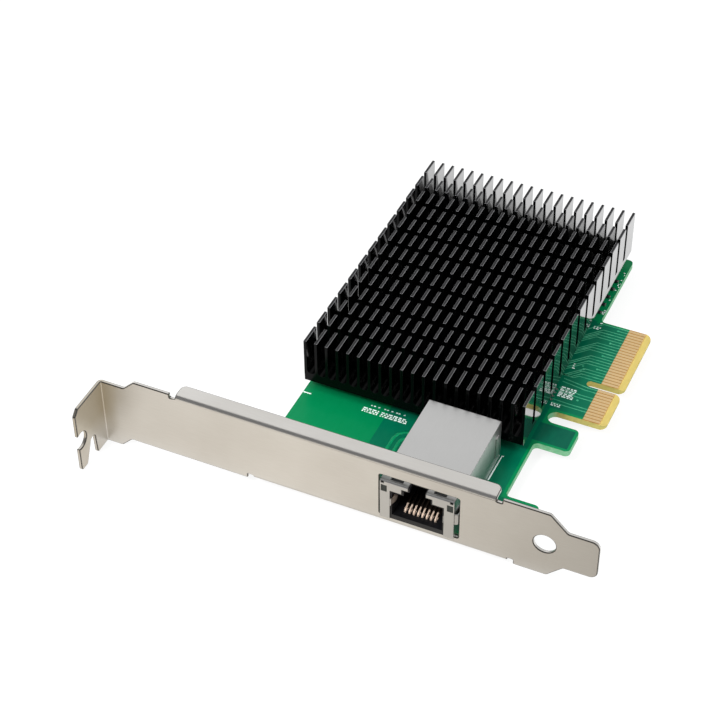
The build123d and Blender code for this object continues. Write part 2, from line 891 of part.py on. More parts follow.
def power_inductors():
    x = sink_left + sink_screw_inset + inductor_side / 2
    first = controller_y - controller_side / 2
    return [square_part(x, first + step * (inductor_side + part_gap), inductor_side, inductor_corner,
                        0, inductor_height) for step in range(inductor_count)]


def regulator_places():
    x = sink_left + sink_screw_inset + inductor_side / 2
    first = controller_y + controller_side / 2
    return [(x, first + step * (regulator_side + part_gap)) for step in range(regulator_count)]


def voltage_regulators():
    half = regulator_side / 2
    return [block(x - half, x + half, y - half, y + half, 0, regulator_height)
            for x, y in regulator_places()]


def clock_crystal():
    x = controller_x + controller_side / 2 + crystal_length
    half_width, half_length = crystal_width / 2, crystal_length / 2
    return block(x - half_width, x + half_width, controller_y + controller_side / 2 - half_length,
                 controller_y + controller_side / 2 + half_length, 0, crystal_height)


def large_capacitor_places():
    """A column of large capacitors beside the controller."""
    x = controller_x + controller_side / 2 + capacitor_length
    first = controller_y - (capacitor_count - 1) * capacitor_pitch / 2
    return [(x, first + step * capacitor_pitch) for step in range(capacitor_count)]


def underside_capacitor_places():
    """A square field of small capacitors on the solder side, below the controller."""
    middle = (underside_field_count - 1) / 2
    steps = [(step - middle) * underside_field_pitch for step in range(underside_field_count)]
    return [(controller_x + across, controller_y + along) for across in steps for along in steps]


def resistor_places():
    """A row of small resistors along the heat sink's edge, in front of its back end."""
    first = sink_back - sink_screw_end_inset - sink_spacer_radius - small_part_length
    x = board_right - small_part_length
    return [(x, first - step * resistor_pitch) for step in range(resistor_count)]


def chip_part(x, y, length, width, z_from, z_to):
    """A chip part's body between its two metal ends; it lies along X."""
    body_half = length * (1 / 2 - end_cap_share)
    half_width = width / 2
    return block(x - body_half, x + body_half, y - half_width, y + half_width, z_from, z_to)


def chip_ends(x, y, length, width, z_from, z_to):
    """The two metal ends of a chip part."""
    cap = length * end_cap_share
    half_width = width / 2
    return [block(x + side * (length - cap) / 2 - cap / 2, x + side * (length - cap) / 2 + cap / 2,
                  y - half_width, y + half_width, z_from, z_to) for side in (-1, 1)]


def ceramic_capacitors():
    large = [chip_part(x, y, capacitor_length, capacitor_width, 0, capacitor_width)
             for x, y in large_capacitor_places()]
    small = [chip_part(x, y, small_part_length, small_part_width, board_bottom - small_part_width,
                       board_bottom) for x, y in underside_capacitor_places()]
    return large + small


def chip_resistors():
    return [chip_part(x, y, small_part_length, small_part_width, 0, resistor_height)
            for x, y in resistor_places()]


def chip_part_ends():
    ends = []
    for x, y in large_capacitor_places():
        ends += chip_ends(x, y, capacitor_length, capacitor_width, 0, capacitor_width)
    for x, y in underside_capacitor_places():
        ends += chip_ends(x, y, small_part_length, small_part_width, board_bottom - small_part_width,
                          board_bottom)
    for x, y in resistor_places():
        ends += chip_ends(x, y, small_part_length, small_part_width, 0, resistor_height)
    return ends


def save(name, pieces):
    """Write one node: a single piece, or a group of separate ones."""
    if isinstance(pieces, list):
        pieces = Compound(children=pieces)
    export_step(pieces, f"parts/{name}.step")


for make in (
    bracket, bracket_screws, circuit_board, edge_contacts_top, edge_contacts_bottom,
    jack_shield, jack_housing, jack_contacts, jack_light_guides, jack_transformer_module, jack_pins,
    heat_sink, heat_sink_screws, heat_sink_spacers, thermal_pad, controller_chip, controller_lid,
    flash_memory, flash_memory_leads, clock_crystal, power_inductors, voltage_regulators,
    ceramic_capacitors, chip_resistors, chip_part_ends,
):
    save(make.__name__, make())
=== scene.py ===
# %% [markdown]
# # A network interface card
# This lesson dresses a measured CAD model of a plug-in network card: a folded steel bracket, a green
# circuit board with gold edge contacts, a shielded cable jack and a black finned heat sink.
# The CAD model is loaded first and stays where it is. Every piece made here sits on it, in metres,
# in the same frame: X runs along the bracket, Y goes into the computer, and Z = 0 is the face of the
# board that carries the parts.

# %% Load the frame
import math
import random
from functools import partial

import bmesh
import bpy
from mathutils import Matrix, Vector


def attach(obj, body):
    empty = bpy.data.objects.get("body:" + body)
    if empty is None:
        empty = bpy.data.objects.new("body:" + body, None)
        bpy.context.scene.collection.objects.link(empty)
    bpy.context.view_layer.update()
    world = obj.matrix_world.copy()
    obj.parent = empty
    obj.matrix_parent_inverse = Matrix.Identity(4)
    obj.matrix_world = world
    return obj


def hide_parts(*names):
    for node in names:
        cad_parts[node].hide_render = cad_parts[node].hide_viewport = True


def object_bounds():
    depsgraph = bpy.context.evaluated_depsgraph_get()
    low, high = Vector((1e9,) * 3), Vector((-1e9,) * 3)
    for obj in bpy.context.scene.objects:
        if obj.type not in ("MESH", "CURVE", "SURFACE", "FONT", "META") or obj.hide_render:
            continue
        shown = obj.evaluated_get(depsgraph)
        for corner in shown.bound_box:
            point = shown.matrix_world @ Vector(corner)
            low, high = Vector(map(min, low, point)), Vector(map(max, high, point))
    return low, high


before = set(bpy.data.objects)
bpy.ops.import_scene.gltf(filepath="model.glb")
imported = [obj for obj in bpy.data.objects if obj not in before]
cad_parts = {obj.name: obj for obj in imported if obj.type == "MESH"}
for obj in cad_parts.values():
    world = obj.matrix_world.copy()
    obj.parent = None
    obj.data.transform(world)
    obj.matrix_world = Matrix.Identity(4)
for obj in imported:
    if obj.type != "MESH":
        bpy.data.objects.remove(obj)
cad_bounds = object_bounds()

scene = bpy.context.scene
print("CAD nodes:", len(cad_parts), "box:", [round(v, 5) for corner in cad_bounds for v in corner])

# %% [markdown]
# ## Sizes
# The sizes that more than one cell needs are named once. They repeat the sizes of the CAD model, so
# that what is made here sits on it. Makers of circuit boards think in millimetres and Blender here
# works in metres, so a length is written as a number times MM. Only the places of areas, tracks and
# print on the board are plain millimetres, which their helpers turn into metres.

# %% Sizes shared by the cells
MM = 0.001
BOARD_THICK = 1.57 * MM
KEY_MIDDLE = 57.92 * MM
CONTACT_PITCH = 1.0 * MM
FIRST_CONTACT = 1.5 * MM            # from the key's middle to the first contact on each side
CONTACTS_FRONT, CONTACTS_BACK = 11, 21
SINK_LEFT, SINK_WIDTH = 37.7 * MM, 54.45 * MM
SINK_FRONT, SINK_LENGTH = 29.3 * MM, 76.25 * MM
JACK_MIDDLE = 79.0 * MM


def contact_rows():
    """The middle of every edge contact along Y, outwards from the key."""
    front = [KEY_MIDDLE - FIRST_CONTACT - step * CONTACT_PITCH for step in range(CONTACTS_FRONT)]
    back = [KEY_MIDDLE + FIRST_CONTACT + step * CONTACT_PITCH for step in range(CONTACTS_BACK)]
    return front, back


print("contacts in front of and behind the key:", [len(row) for row in contact_rows()])

# %% [markdown]
# ## The camera
# The photograph was taken with a long lens from above and in front of the bracket. A camera in Blender
# looks along its own -Z with +Y up, so a rotation is built from two measured directions: where it
# looks, and what is to its right. A long lens keeps far and near fins almost the same size.

# %% Camera
CAMERA_PLACE = Vector((188.418, -265.094, 307.616)) * MM
CAMERA_LOOK = Vector((-0.31192, 0.67300, -0.67066))
CAMERA_RIGHT = Vector((0.91014, 0.41423, -0.00763))
LENS, SENSOR = 96.16, 36            # in millimetres, as a camera has them
NEAREST_SEEN = 0.01


def linked(name, data):
    """A new object with this data, in the scene."""
    made = bpy.data.objects.new(name, data)
    scene.collection.objects.link(made)
    return made


look = CAMERA_LOOK.normalized()
right = (CAMERA_RIGHT - look * CAMERA_RIGHT.dot(look)).normalized()
turn = Matrix((right, right.cross(look), -look)).transposed().to_4x4()
camera = linked("camera", bpy.data.cameras.new("camera"))
camera.data.lens = LENS
camera.data.sensor_width = SENSOR
camera.data.clip_start = NEAREST_SEEN
camera.matrix_world = Matrix.Translation(CAMERA_PLACE) @ turn
scene.camera = camera
scene.view_settings.view_transform = "Standard"
print("camera", [round(v, 4) for v in CAMERA_PLACE], "lens", camera.data.lens)

# %% [markdown]
# ## Helpers for nodes
# A material is a small network of nodes. A few helpers keep each one short: one adds a node with its
# inputs, others do a sum, stretch a range or mix two colours. One starts a shader group, which is a
# network with named sockets that several materials share. Groups only put out masks and values here.
# The shader itself stays in the material, with its constant numbers on its own sockets, so that an
# export can read them.


# %% Helpers that add nodes
def with_inputs(tree, made, inputs):
    """Gives a node its inputs. Each is a number, a colour or the socket that feeds it."""
    for name, value in inputs.items():
        if isinstance(value, bpy.types.NodeSocket):
            tree.links.new(value, made.inputs[name])
        else:
            made.inputs[name].default_value = value
    return made


def node(tree, kind, inputs=None, **settings):
    """Adds a shader node by its short name, or a Geometry Nodes node by its full name."""
    made = tree.nodes.new(kind if kind.startswith("GeometryNode") else "ShaderNode" + kind)
    for name, value in settings.items():
        setattr(made, name, value)
    return with_inputs(tree, made, inputs or {})


def calc(tree, operation, first, second=0.0, third=0.0, clamp=False):
    """One sum. The third number counts only in an operation of three."""
    return node(tree, "Math", {0: first, 1: second, 2: third}, operation=operation,
                use_clamp=clamp).outputs[0]


def ramp(tree, value, start, stop, low=0.0, high=1.0):
    """A number that goes from low to high while a value goes from start to stop."""
    return node(tree, "MapRange", {"Value": value, "From Min": start, "From Max": stop,
                                   "To Min": low, "To Max": high}).outputs[0]


def axes(tree, coordinate):
    """A texture coordinate, such as Object or Normal, as its three numbers along X, Y and Z."""
    return node(tree, "SeparateXYZ", {0: node(tree, "TexCoord").outputs[coordinate]}).outputs


def any_of(tree, masks):
    """The mask that is 1 where one of these is."""
    total = masks[0]
    for mask in masks[1:]:
        total = calc(tree, "MAXIMUM", total, mask)
    return total


# %% Helpers for colours and materials
def srgb(red, green, blue):
    """A colour as a picture shows it, 0 to 255, turned into the linear values that nodes use."""
    linear = [((v / 255 + 0.055) / 1.055) ** 2.4 if v > 10 else v / 255 / 12.92
              for v in (red, green, blue)]
    return (*linear, 1.0)


def mixed(tree, factor, low, high):
    """A colour between two others."""
    return node(tree, "Mix", {0: factor, 6: low, 7: high}, data_type="RGBA").outputs[2]


def layered(tree, colour, *layers):
    """A colour with others laid over it, each through its own mask."""
    for mask, over in layers:
        colour = mixed(tree, mask, colour, over)
    return colour


def bumped(tree, height, distance):
    """The normal of a surface whose height is given, for bumps this many metres deep."""
    return node(tree, "Bump", {"Height": height, "Distance": distance}).outputs["Normal"]


def emptied(owner):
    """The node tree of a material or a world, without the nodes that it starts with."""
    owner.use_nodes = True
    owner.node_tree.nodes.clear()
    return owner.node_tree


def ended(tree, shader, kind="OutputMaterial"):
    """Joins a tree's last shader to its output."""
    tree.links.new(shader.outputs[0], node(tree, kind).inputs["Surface"])


def surface(name, inputs):
    """A finished material: one Principled shader, with the inputs that a function makes."""
    material = bpy.data.materials.new(name)
    tree = emptied(material)
    ended(tree, node(tree, "BsdfPrincipled", inputs(tree)))
    return material


def shader_group(name, output, inputs):
    """An empty group with one output, and with an input for each number or vector given here."""
    tree = bpy.data.node_groups.new(name, "ShaderNodeTree")
    for label, value in inputs.items():
        kind = "NodeSocketVector" if isinstance(value, tuple) else "NodeSocketFloat"
        tree.interface.new_socket(label, in_out="INPUT", socket_type=kind).default_value = value
    tree.interface.new_socket(output, in_out="OUTPUT", socket_type="NodeSocketFloat")
    return tree, tree.nodes.new("NodeGroupInput").outputs, tree.nodes.new("NodeGroupOutput")


def use_group(tree, group, **inputs):
    """What a shader group puts out in a material. An underscore in a name stands for a space."""
    made = tree.nodes.new("ShaderNodeGroup")
    made.node_tree = group
    inputs = {name.replace("_", " "): value for name, value in inputs.items()}
    return with_inputs(tree, made, inputs).outputs[0]


print("a mid grey as nodes see it:", round(srgb(128, 128, 128)[0], 3))

# %% [markdown]
# ## Effects that several materials share
# - *grain* is soft noise that may be stretched. Stretched along one axis it becomes the rolling marks
#   of sheet metal, and unstretched it is the tooth of moulded plastic or anodised aluminium.
# - *worn edge* finds edges. The Bevel node gives the normal that a rounded edge would have, and where
#   it turns away from the true normal there is an edge, which handling has polished or bared.
# - *box area* is 1 inside a box and 0 outside it, for what is printed or plated on a board.

# %% Grain
NOISE_RANGE = (0.3, 0.7)            # soft noise hardly leaves this range, so it is stretched to 0 to 1


def make_grain():
    tree, given, end = shader_group("grain", "Value", {
        "Scale": 1000.0, "Stretch": (1, 1, 1), "Low": 0.0, "High": 1.0, "Detail": 3.0})
    place = node(tree, "TexCoord").outputs["Object"]
    stretched = node(tree, "VectorMath", {0: place, 1: given["Stretch"]}, operation="MULTIPLY")
    noise = node(tree, "TexNoise", {"Vector": stretched.outputs[0], "Scale": given["Scale"],
                                    "Detail": given["Detail"]})
    spread = ramp(tree, noise.outputs["Fac"], *NOISE_RANGE, given["Low"], given["High"])
    tree.links.new(spread, end.inputs[0])
    return tree


GRAIN = make_grain()
print("group:", GRAIN.name)

# %% Worn edges
EDGE_SAMPLES = 4
TURNED_FROM = 0.01                  # a normal that turns less than this is on no edge
FAINTEST_PATCH = 0.45               # wear is never even: this share of it is left in the faint patches


def make_worn_edge():
    tree, given, end = shader_group("worn edge", "Mask", {
        "Width": 0.0002, "Break Up": 900.0, "Reach": 0.35})
    rounded = node(tree, "Bevel", {"Radius": given["Width"]}, samples=EDGE_SAMPLES)
    true_normal = node(tree, "NewGeometry").outputs["Normal"]
    facing = node(tree, "VectorMath", {0: rounded.outputs[0], 1: true_normal}, operation="DOT_PRODUCT")
    turned_by = calc(tree, "SUBTRACT", 1.0, facing.outputs["Value"])
    patches = use_group(tree, GRAIN, Scale=given["Break Up"], Low=FAINTEST_PATCH, High=1.0)
    edge = ramp(tree, turned_by, TURNED_FROM, given["Reach"])
    tree.links.new(calc(tree, "MULTIPLY", edge, patches, clamp=True), end.inputs[0])
    return tree


WORN_EDGE = make_worn_edge()
print("group:", WORN_EDGE.name)


# %% Areas on a flat part
def make_box_area():
    tree, given, end = shader_group("box area", "Mask", {
        "Middle": (0, 0, 0), "Half Size": (1, 1, 1), "Soft Edge": 0.00005})
    place = node(tree, "TexCoord").outputs["Object"]
    offset = node(tree, "VectorMath", {0: place, 1: given["Middle"]}, operation="SUBTRACT")
    spread = node(tree, "VectorMath", {0: offset.outputs[0]}, operation="ABSOLUTE")
    past = node(tree, "VectorMath", {0: spread.outputs[0], 1: given["Half Size"]}, operation="SUBTRACT")
    furthest = any_of(tree, node(tree, "SeparateXYZ", {0: past.outputs[0]}).outputs)
    share = calc(tree, "DIVIDE", furthest, given["Soft Edge"])
    tree.links.new(calc(tree, "SUBTRACT", 0.5, share, clamp=True), end.inputs[0])
    return tree


BOX_AREA = make_box_area()


def area(tree, x_from, x_to, y_from, y_to, soft=0.05):
    """A mask over a rectangle of the board, in millimetres, on both of its faces."""
    middle = ((x_from + x_to) / 2 * MM, (y_from + y_to) / 2 * MM, 0)
    half = ((x_to - x_from) / 2 * MM, (y_to - y_from) / 2 * MM, 1)
    return use_group(tree, BOX_AREA, Middle=middle, Half_Size=half, Soft_Edge=soft * MM)


print("group:", BOX_AREA.name)

# %% [markdown]
# ## Metals
# Sheet steel with a nickel plating is a warm, satin grey. Rolling leaves fine lines along the sheet,
# and handling leaves large, faint smears, so roughness and colour both vary a little. Near the fold of
# the screw tab the colour is painted browner and darker, a painted shade. The rounded edges of stamped
# parts are painted a darker metal, a painted shade along the edges. The same recipe with other numbers
# gives the shell of the jack, screws, spacers, tin and gold. A metal's colour is what it reflects, so
# Metallic is 1 everywhere.

# %% A recipe for plated metal
SMEAR_SCALE = 55.0
SMEAR_SHARE, MARK_SHARE = 0.7, 0.3              # how much of the stain is smears, and rolling marks
POLISHED = 1.1                                  # how much brighter than the colour a worn edge is
FOLD_SHADE_X, FOLD_SHADE_Z = (1.0 * MM, 5.0 * MM), (-1.0 * MM, 5.0 * MM)    # the fold's shade fades along X here,
FOLD_SHADE_FAINT = 0.15                               # and from full down to this share along Z


def metal(name, colour, stained, roughness, scale, rolling=(1, 1, 1), relief=0.004, uneven=0.08,
          fold_shade=None):
    """Plated metal: its colour, a slightly stained colour, marks stretched along the sheet, and a painted
    shade near the fold where one is given.
    """
    def inputs(tree):
        marks = use_group(tree, GRAIN, Scale=scale, Stretch=rolling, Detail=4.0)
        smears = use_group(tree, GRAIN, Scale=SMEAR_SCALE, Detail=2.0)
        edge = use_group(tree, WORN_EDGE, Width=0.12 * MM)
        tone = calc(tree, "ADD", calc(tree, "MULTIPLY", smears, SMEAR_SHARE),
                    calc(tree, "MULTIPLY", marks, MARK_SHARE))
        tinted = mixed(tree, tone, colour, stained)
        # Painted shade: near the fold, low on the screw tab, the colour is painted darker and browner.
        if fold_shade:
            place = axes(tree, "Object")
            near = ramp(tree, place[0], *FOLD_SHADE_X, 1.0, 0.0)
            high = ramp(tree, place[2], *FOLD_SHADE_Z, FOLD_SHADE_FAINT, 1.0)
            tinted = mixed(tree, calc(tree, "MULTIPLY", near, high), tinted, fold_shade)
        bare = tuple(min(1.0, v * POLISHED) for v in colour[:3]) + (1.0,)
        rough = ramp(tree, tone, 0.0, 1.0, roughness - uneven / 2, roughness + uneven / 2)
        return {"Base Color": mixed(tree, edge, tinted, bare), "Roughness": rough, "Metallic": 1.0,
                "Normal": bumped(tree, marks, relief * MM)}
    return surface(name, inputs)


BRACKET_STEEL = metal("nickel plated sheet", srgb(226, 224, 220), srgb(216, 213, 208), 0.32, 2600.0,
                      rolling=(0.12, 1.0, 1.0), relief=0.0004, fold_shade=srgb(201, 194, 179))
SHELL_STEEL = metal("jack shell sheet", srgb(208, 208, 207), srgb(202, 202, 201), 0.34, 2600.0,
                    rolling=(1.0, 0.15, 1.0), relief=0.0003, uneven=0.06)
# Painted shade: the rounded edges of the bracket and the shell take this darker metal.
EDGE_SHADE_STEEL = metal("punched edge shade", srgb(128, 126, 122), srgb(96, 94, 90), 0.16, 1500.0)
SCREW_STEEL = metal("screw steel", srgb(200, 198, 194), srgb(168, 166, 160), 0.30, 1800.0)
SPACER_STEEL = metal("turned spacer steel", srgb(206, 204, 198), srgb(180, 178, 172), 0.28, 1500.0,
                     rolling=(1.0, 1.0, 6.0))
GOLD = metal("gold plating", srgb(244, 218, 168), srgb(238, 204, 150), 0.34, 3000.0,
             rolling=(0.2, 1.0, 1.0), relief=0.0006)
TIN = metal("tinned metal", srgb(206, 206, 204), srgb(176, 177, 176), 0.38, 3200.0, relief=0.003)
LID_METAL = metal("plated chip lid", srgb(196, 194, 188), srgb(176, 174, 168), 0.34, 2200.0)
CAN_METAL = metal("crystal can", srgb(212, 208, 198), srgb(192, 188, 178), 0.26, 2200.0)
print("metals:", [m.name for m in bpy.data.materials])

# %% [markdown]
# ## Black anodised aluminium
# The heat sink is extruded, sawn across and dyed black. The dye sits in a glassy oxide layer. Seen
# from above it looks black, and at a glancing angle its flat sides mirror what stands beside them: the
# white floor where nothing is in the way, the green board lower down. A coat that turns metallic at
# such angles, on the extruded sides alone, gives the layer that sheen. The upward faces of the fin
# tips are painted paler and their cut corners paler still, a painted highlight; the tips are rougher
# too. Fine grain and greyed edges keep it from looking like paint.

# %% Anodised aluminium
FIN_TIP_HEIGHT = 14.6 * MM          # what is higher than this belongs to a fin's tip
GLANCING = (0.42, 0.66)             # Facing is this where the sheen starts and where it is full
EXTRUDED = 0.9                      # an extruded side faces along X by more than this
TIP_CORNER, CORNER_RANGE = 0.707, 0.2           # how far up a tip's cut corner faces, and within what


def anodised(tree):
    tooth = use_group(tree, GRAIN, Scale=5200.0, Detail=2.0)
    edge = use_group(tree, WORN_EDGE, Width=0.08 * MM, Reach=0.5)
    glance = node(tree, "LayerWeight", {"Blend": 0.5}).outputs["Facing"]
    normal = axes(tree, "Normal")
    extruded = calc(tree, "GREATER_THAN", calc(tree, "ABSOLUTE", normal[0]), EXTRUDED)
    sheen = calc(tree, "MULTIPLY", ramp(tree, glance, *GLANCING), extruded)
    # Painted highlight: the upward faces of the fin tips are painted paler, their cut corners paler still.
    at_tip = calc(tree, "GREATER_THAN", axes(tree, "Object")[2], FIN_TIP_HEIGHT)
    tip_up = calc(tree, "MULTIPLY", normal[2], at_tip)
    tip_top_highlight = ramp(tree, tip_up, 0.55, 0.98, 0.0, 0.8)
    tip_corner_highlight = calc(tree, "COMPARE", tip_up, TIP_CORNER, CORNER_RANGE)
    on_edge = calc(tree, "MULTIPLY", edge, ramp(tree, tip_top_highlight, 0.0, 1.0, 0.12, 0.5))
    tone = layered(tree, srgb(2, 3, 3), (calc(tree, "MULTIPLY", tooth, 0.5), srgb(7, 7, 8)),
                   (tip_top_highlight, srgb(44, 44, 45)), (tip_corner_highlight, srgb(116, 116, 118)),
                   (on_edge, srgb(112, 112, 112)))
    return {"Base Color": tone, "Roughness": ramp(tree, tip_top_highlight, 0.0, 0.8, 0.16, 0.45), "IOR": 1.45,
            "Specular IOR Level": 0.12, "Metallic": sheen, "Coat Weight": sheen, "Coat IOR": 4.0,
            "Coat Roughness": 0.05, "Normal": bumped(tree, tooth, 0.0003 * MM)}


ANODISED = surface("black anodised aluminium", anodised)
print("made", ANODISED.name)

# %% [markdown]
# ## The circuit board
# A board is glass cloth in resin with copper on both sides, under a green lacquer called solder mask.
# The lacquer looks bright green where there is bare laminate below it and dark teal over a copper
# plane. On the hook it is painted darker still, a painted shadow of the heat sink. The plane stops short
# of the edges, which leaves the bright rim seen along the hook. Beyond the lacquer, around the
# contacts, the bare laminate is amber, and paler on the strip past them. The sawn edges show pale resin.
# One material does all of this on the CAD board, from masks over areas of its own X and Y.

# %% Areas of the circuit board, all in millimetres
BOARD_RIGHT, BOARD_FRONT, BOARD_BACK = 93.15, 1.2, 105.5
FOOT_RIGHT, FOOT_BACK = 101.43, 16.0            # the hook reaches as far right as the foot
HOOK_FRONT, HOOK_BACK = 34.35, 41.95
SEGMENTS_FRONT, SEGMENTS_BACK = 45.77, 80.07    # the two segments of the contact edge
MASK_END = 100.6                    # where the solder mask stops before the contacts
STRIP_START = 104.75                # the pale strip beyond the contacts
PAST_BOARD = 110.0                  # an area that ends here runs past the board's edge
BARE_Y = (43.5, 90.0)               # and past both ends of the contact edge
PLANE_LINE = 58.75                  # where the copper plane starts
PLANE_INSET = 0.75                  # how far the plane stops from the edges
PLANE_JOIN = 92.0                   # the outer planes start below the main one
HOOK_PLANE_AND_SHADE = (PLANE_JOIN, FOOT_RIGHT - PLANE_INSET, HOOK_FRONT + PLANE_INSET, HOOK_BACK - PLANE_INSET)
PLANES = [
    (PLANE_LINE, BOARD_RIGHT - PLANE_INSET, BOARD_FRONT + PLANE_INSET, 80.0),
    (PLANE_LINE, 90.4, 79.0, BOARD_BACK - PLANE_INSET),
    (PLANE_JOIN, FOOT_RIGHT - PLANE_INSET, BOARD_FRONT + PLANE_INSET, FOOT_BACK - PLANE_INSET),
    HOOK_PLANE_AND_SHADE,
    (PLANE_JOIN, MASK_END, SEGMENTS_FRONT + PLANE_INSET, SEGMENTS_BACK - PLANE_INSET)]
print("copper planes:", len(PLANES))


# %% Circuit board
def board_look(tree):
    face = ramp(tree, calc(tree, "ABSOLUTE", axes(tree, "Normal")[2]), 0.9, 0.99)
    bare = area(tree, MASK_END, PAST_BOARD, *BARE_Y, soft=0.08)
    end_strip = area(tree, STRIP_START, PAST_BOARD, *BARE_Y, soft=0.2)
    near_contacts = area(tree, 94.3, PAST_BOARD, BARE_Y[0], 81.0, soft=1.6)
    planes = any_of(tree, [area(tree, *plane) for plane in PLANES])
    weave = use_group(tree, GRAIN, Scale=900.0, Stretch=(1.0, 0.35, 1.0), Detail=1.0)
    cloud = use_group(tree, GRAIN, Scale=90.0, Detail=2.0)
    # Painted shadow: the lacquer over the hook's plane is painted darker, for the heat sink's shadow.
    lacquer = layered(tree, srgb(0, 122, 71), (planes, srgb(0, 95, 69)),
                      (area(tree, *HOOK_PLANE_AND_SHADE), srgb(0, 74, 60)),
                      (calc(tree, "MULTIPLY", cloud, 0.18), srgb(4, 122, 84)),
                      (calc(tree, "MULTIPLY", weave, 0.06), srgb(30, 150, 104)))
    amber = layered(tree, srgb(160, 114, 58), (weave, srgb(174, 128, 68)), (end_strip, srgb(200, 172, 98)))
    skin = mixed(tree, bare, lacquer, amber)
    green_cut = mixed(tree, weave, srgb(112, 178, 134), srgb(134, 186, 148))
    amber_cut = mixed(tree, weave, srgb(182, 172, 100), srgb(198, 186, 110))
    sides = mixed(tree, near_contacts, green_cut, amber_cut)
    lacquered = calc(tree, "MULTIPLY", face, calc(tree, "SUBTRACT", 1.0, bare))
    return {"Base Color": mixed(tree, face, sides, skin), "IOR": 1.5, "Specular IOR Level": 0.12,
            "Roughness": ramp(tree, lacquered, 0.0, 1.0, 0.62, 0.28),
            "Normal": bumped(tree, weave, 0.002 * MM)}


BOARD = surface("solder masked board", board_look)
print("made", BOARD.name)

# %% [markdown]
# ## What lies in and on the solder mask
# Copper tracks show as paler green ridges, because the lacquer is thin over them. The printing is a
# dense mint white ink. Solder is tin with a brighter, smoother skin than plating has.

# %% Inks, masked copper and solder
LACQUERED = {"Roughness": 0.3, "IOR": 1.5, "Specular IOR Level": 0.2}


def coated(name, scale, dark, light, constants, relief=0.0):
    """A thin coat in two close tones, with a faint relief where it is given one."""
    def inputs(tree):
        tone = use_group(tree, GRAIN, Scale=scale, Detail=2.0)
        found = {"Base Color": mixed(tree, tone, dark, light), **constants}
        if relief:
            found["Normal"] = bumped(tree, tone, relief * MM)
        return found
    return surface(name, inputs)


MASKED_COPPER = coated("copper track under the mask", 700.0, srgb(44, 146, 108), srgb(84, 176, 136),
                       LACQUERED, relief=0.002)
MASKED_PLANE = coated("wide copper under the mask", 400.0, srgb(0, 128, 84), srgb(8, 140, 90), LACQUERED)
INK = coated("printed ink", 5000.0, srgb(232, 252, 246), srgb(246, 255, 252), {"Roughness": 0.55},
             relief=0.004)
SOLDER = metal("solder", srgb(214, 214, 212), srgb(186, 188, 188), 0.26, 1200.0, relief=0.006)
print("made", MASKED_COPPER.name, INK.name, SOLDER.name)

# %% [markdown]
# ## Plastics and ceramics
# Moulded parts have a fine tooth from their mould. Black plastic is never pure black: dust and light
# scatter lift it. The light guides are clear plastic that looks dark grey-green when the lamp behind
# them is off. Fired parts and the soft thermal pad have the same recipe with other numbers.


# %% A recipe for moulded parts
def moulded(name, dark, light, roughness, scale=2400.0, relief=0.006, edge_tone=None, **more):
    """Moulded or fired material: two close colours, a tooth, and paler edges."""
    def inputs(tree):
        tooth = use_group(tree, GRAIN, Scale=scale, Detail=3.0)
        cloud = use_group(tree, GRAIN, Scale=220.0, Detail=2.0)
        colour = mixed(tree, cloud, dark, light)
        if edge_tone:
            edge = use_group(tree, WORN_EDGE, Width=0.12 * MM, Reach=0.6)
            colour = mixed(tree, edge, colour, edge_tone)
        return {"Base Color": colour, "Normal": bumped(tree, tooth, relief * MM),
                "Roughness": ramp(tree, cloud, 0.0, 1.0, roughness - 0.05, roughness + 0.05), **more}
    return surface(name, inputs)


HOUSING = moulded("black moulded nylon", srgb(13, 13, 15), srgb(22, 22, 25), 0.42,
                  edge_tone=srgb(40, 40, 48))
LIGHT_GUIDE = moulded("clear light guide", srgb(34, 38, 35), srgb(44, 50, 46), 0.35,
                      relief=0.001, IOR=1.4)
POTTING = moulded("dark potting resin", srgb(28, 26, 26), srgb(40, 38, 36), 0.3, 700.0, 0.02)
CHIP_EPOXY = moulded("chip epoxy", srgb(30, 30, 31), srgb(42, 42, 43), 0.5, edge_tone=srgb(60, 60, 60))
PACKAGE = moulded("chip substrate", srgb(24, 74, 52), srgb(34, 88, 62), 0.4)
PAD = moulded("thermal pad", srgb(150, 152, 160), srgb(166, 168, 174), 0.7, 1200.0, 0.02)
FERRITE = moulded("pressed ferrite", srgb(70, 71, 74), srgb(88, 89, 92), 0.62, 1600.0, 0.015)
CERAMIC = moulded("capacitor ceramic", srgb(150, 120, 92), srgb(166, 136, 104), 0.45)
RESISTOR = moulded("resistor glaze", srgb(26, 26, 30), srgb(36, 36, 40), 0.35)
print("moulded and fired:", HOUSING.name, LIGHT_GUIDE.name, CERAMIC.name)

# %% [markdown]
# ## Contact wires
# Each wire in the jack is gold plated where a plug's contacts wipe it. Behind that its colour is painted
# dark, a painted shade inside the jack, so the eight wires show as short pale strokes with nothing above
# them.

# %% Contact wires
PLATED_AND_LIT_AREA = (60.0, 100.0, -5.0, 3.0)          # all eight wires, up to 3 mm behind the bracket's face


def wire_look(tree):
    tone = use_group(tree, GRAIN, Scale=2400.0, Detail=2.0)
    gold = mixed(tree, tone, srgb(240, 210, 186), srgb(250, 226, 206))
    # Painted shade: behind the lit, plated part the wires are painted dark.
    bare = mixed(tree, tone, srgb(26, 21, 18), srgb(40, 32, 27))
    plated = area(tree, *PLATED_AND_LIT_AREA, soft=0.3)
    return {"Base Color": mixed(tree, plated, bare, gold), "Roughness": 0.35, "Metallic": 0.25,
            "Normal": bumped(tree, tone, 0.0006 * MM)}


WIRE_GOLD = surface("gold on contact wires", wire_look)
print("made", WIRE_GOLD.name)

# %% [markdown]
# ## Dressing the CAD parts
# Most CAD solids already have the right shape. Each gets its material in the slots of its own object,
# and neither its mesh nor its place changes.

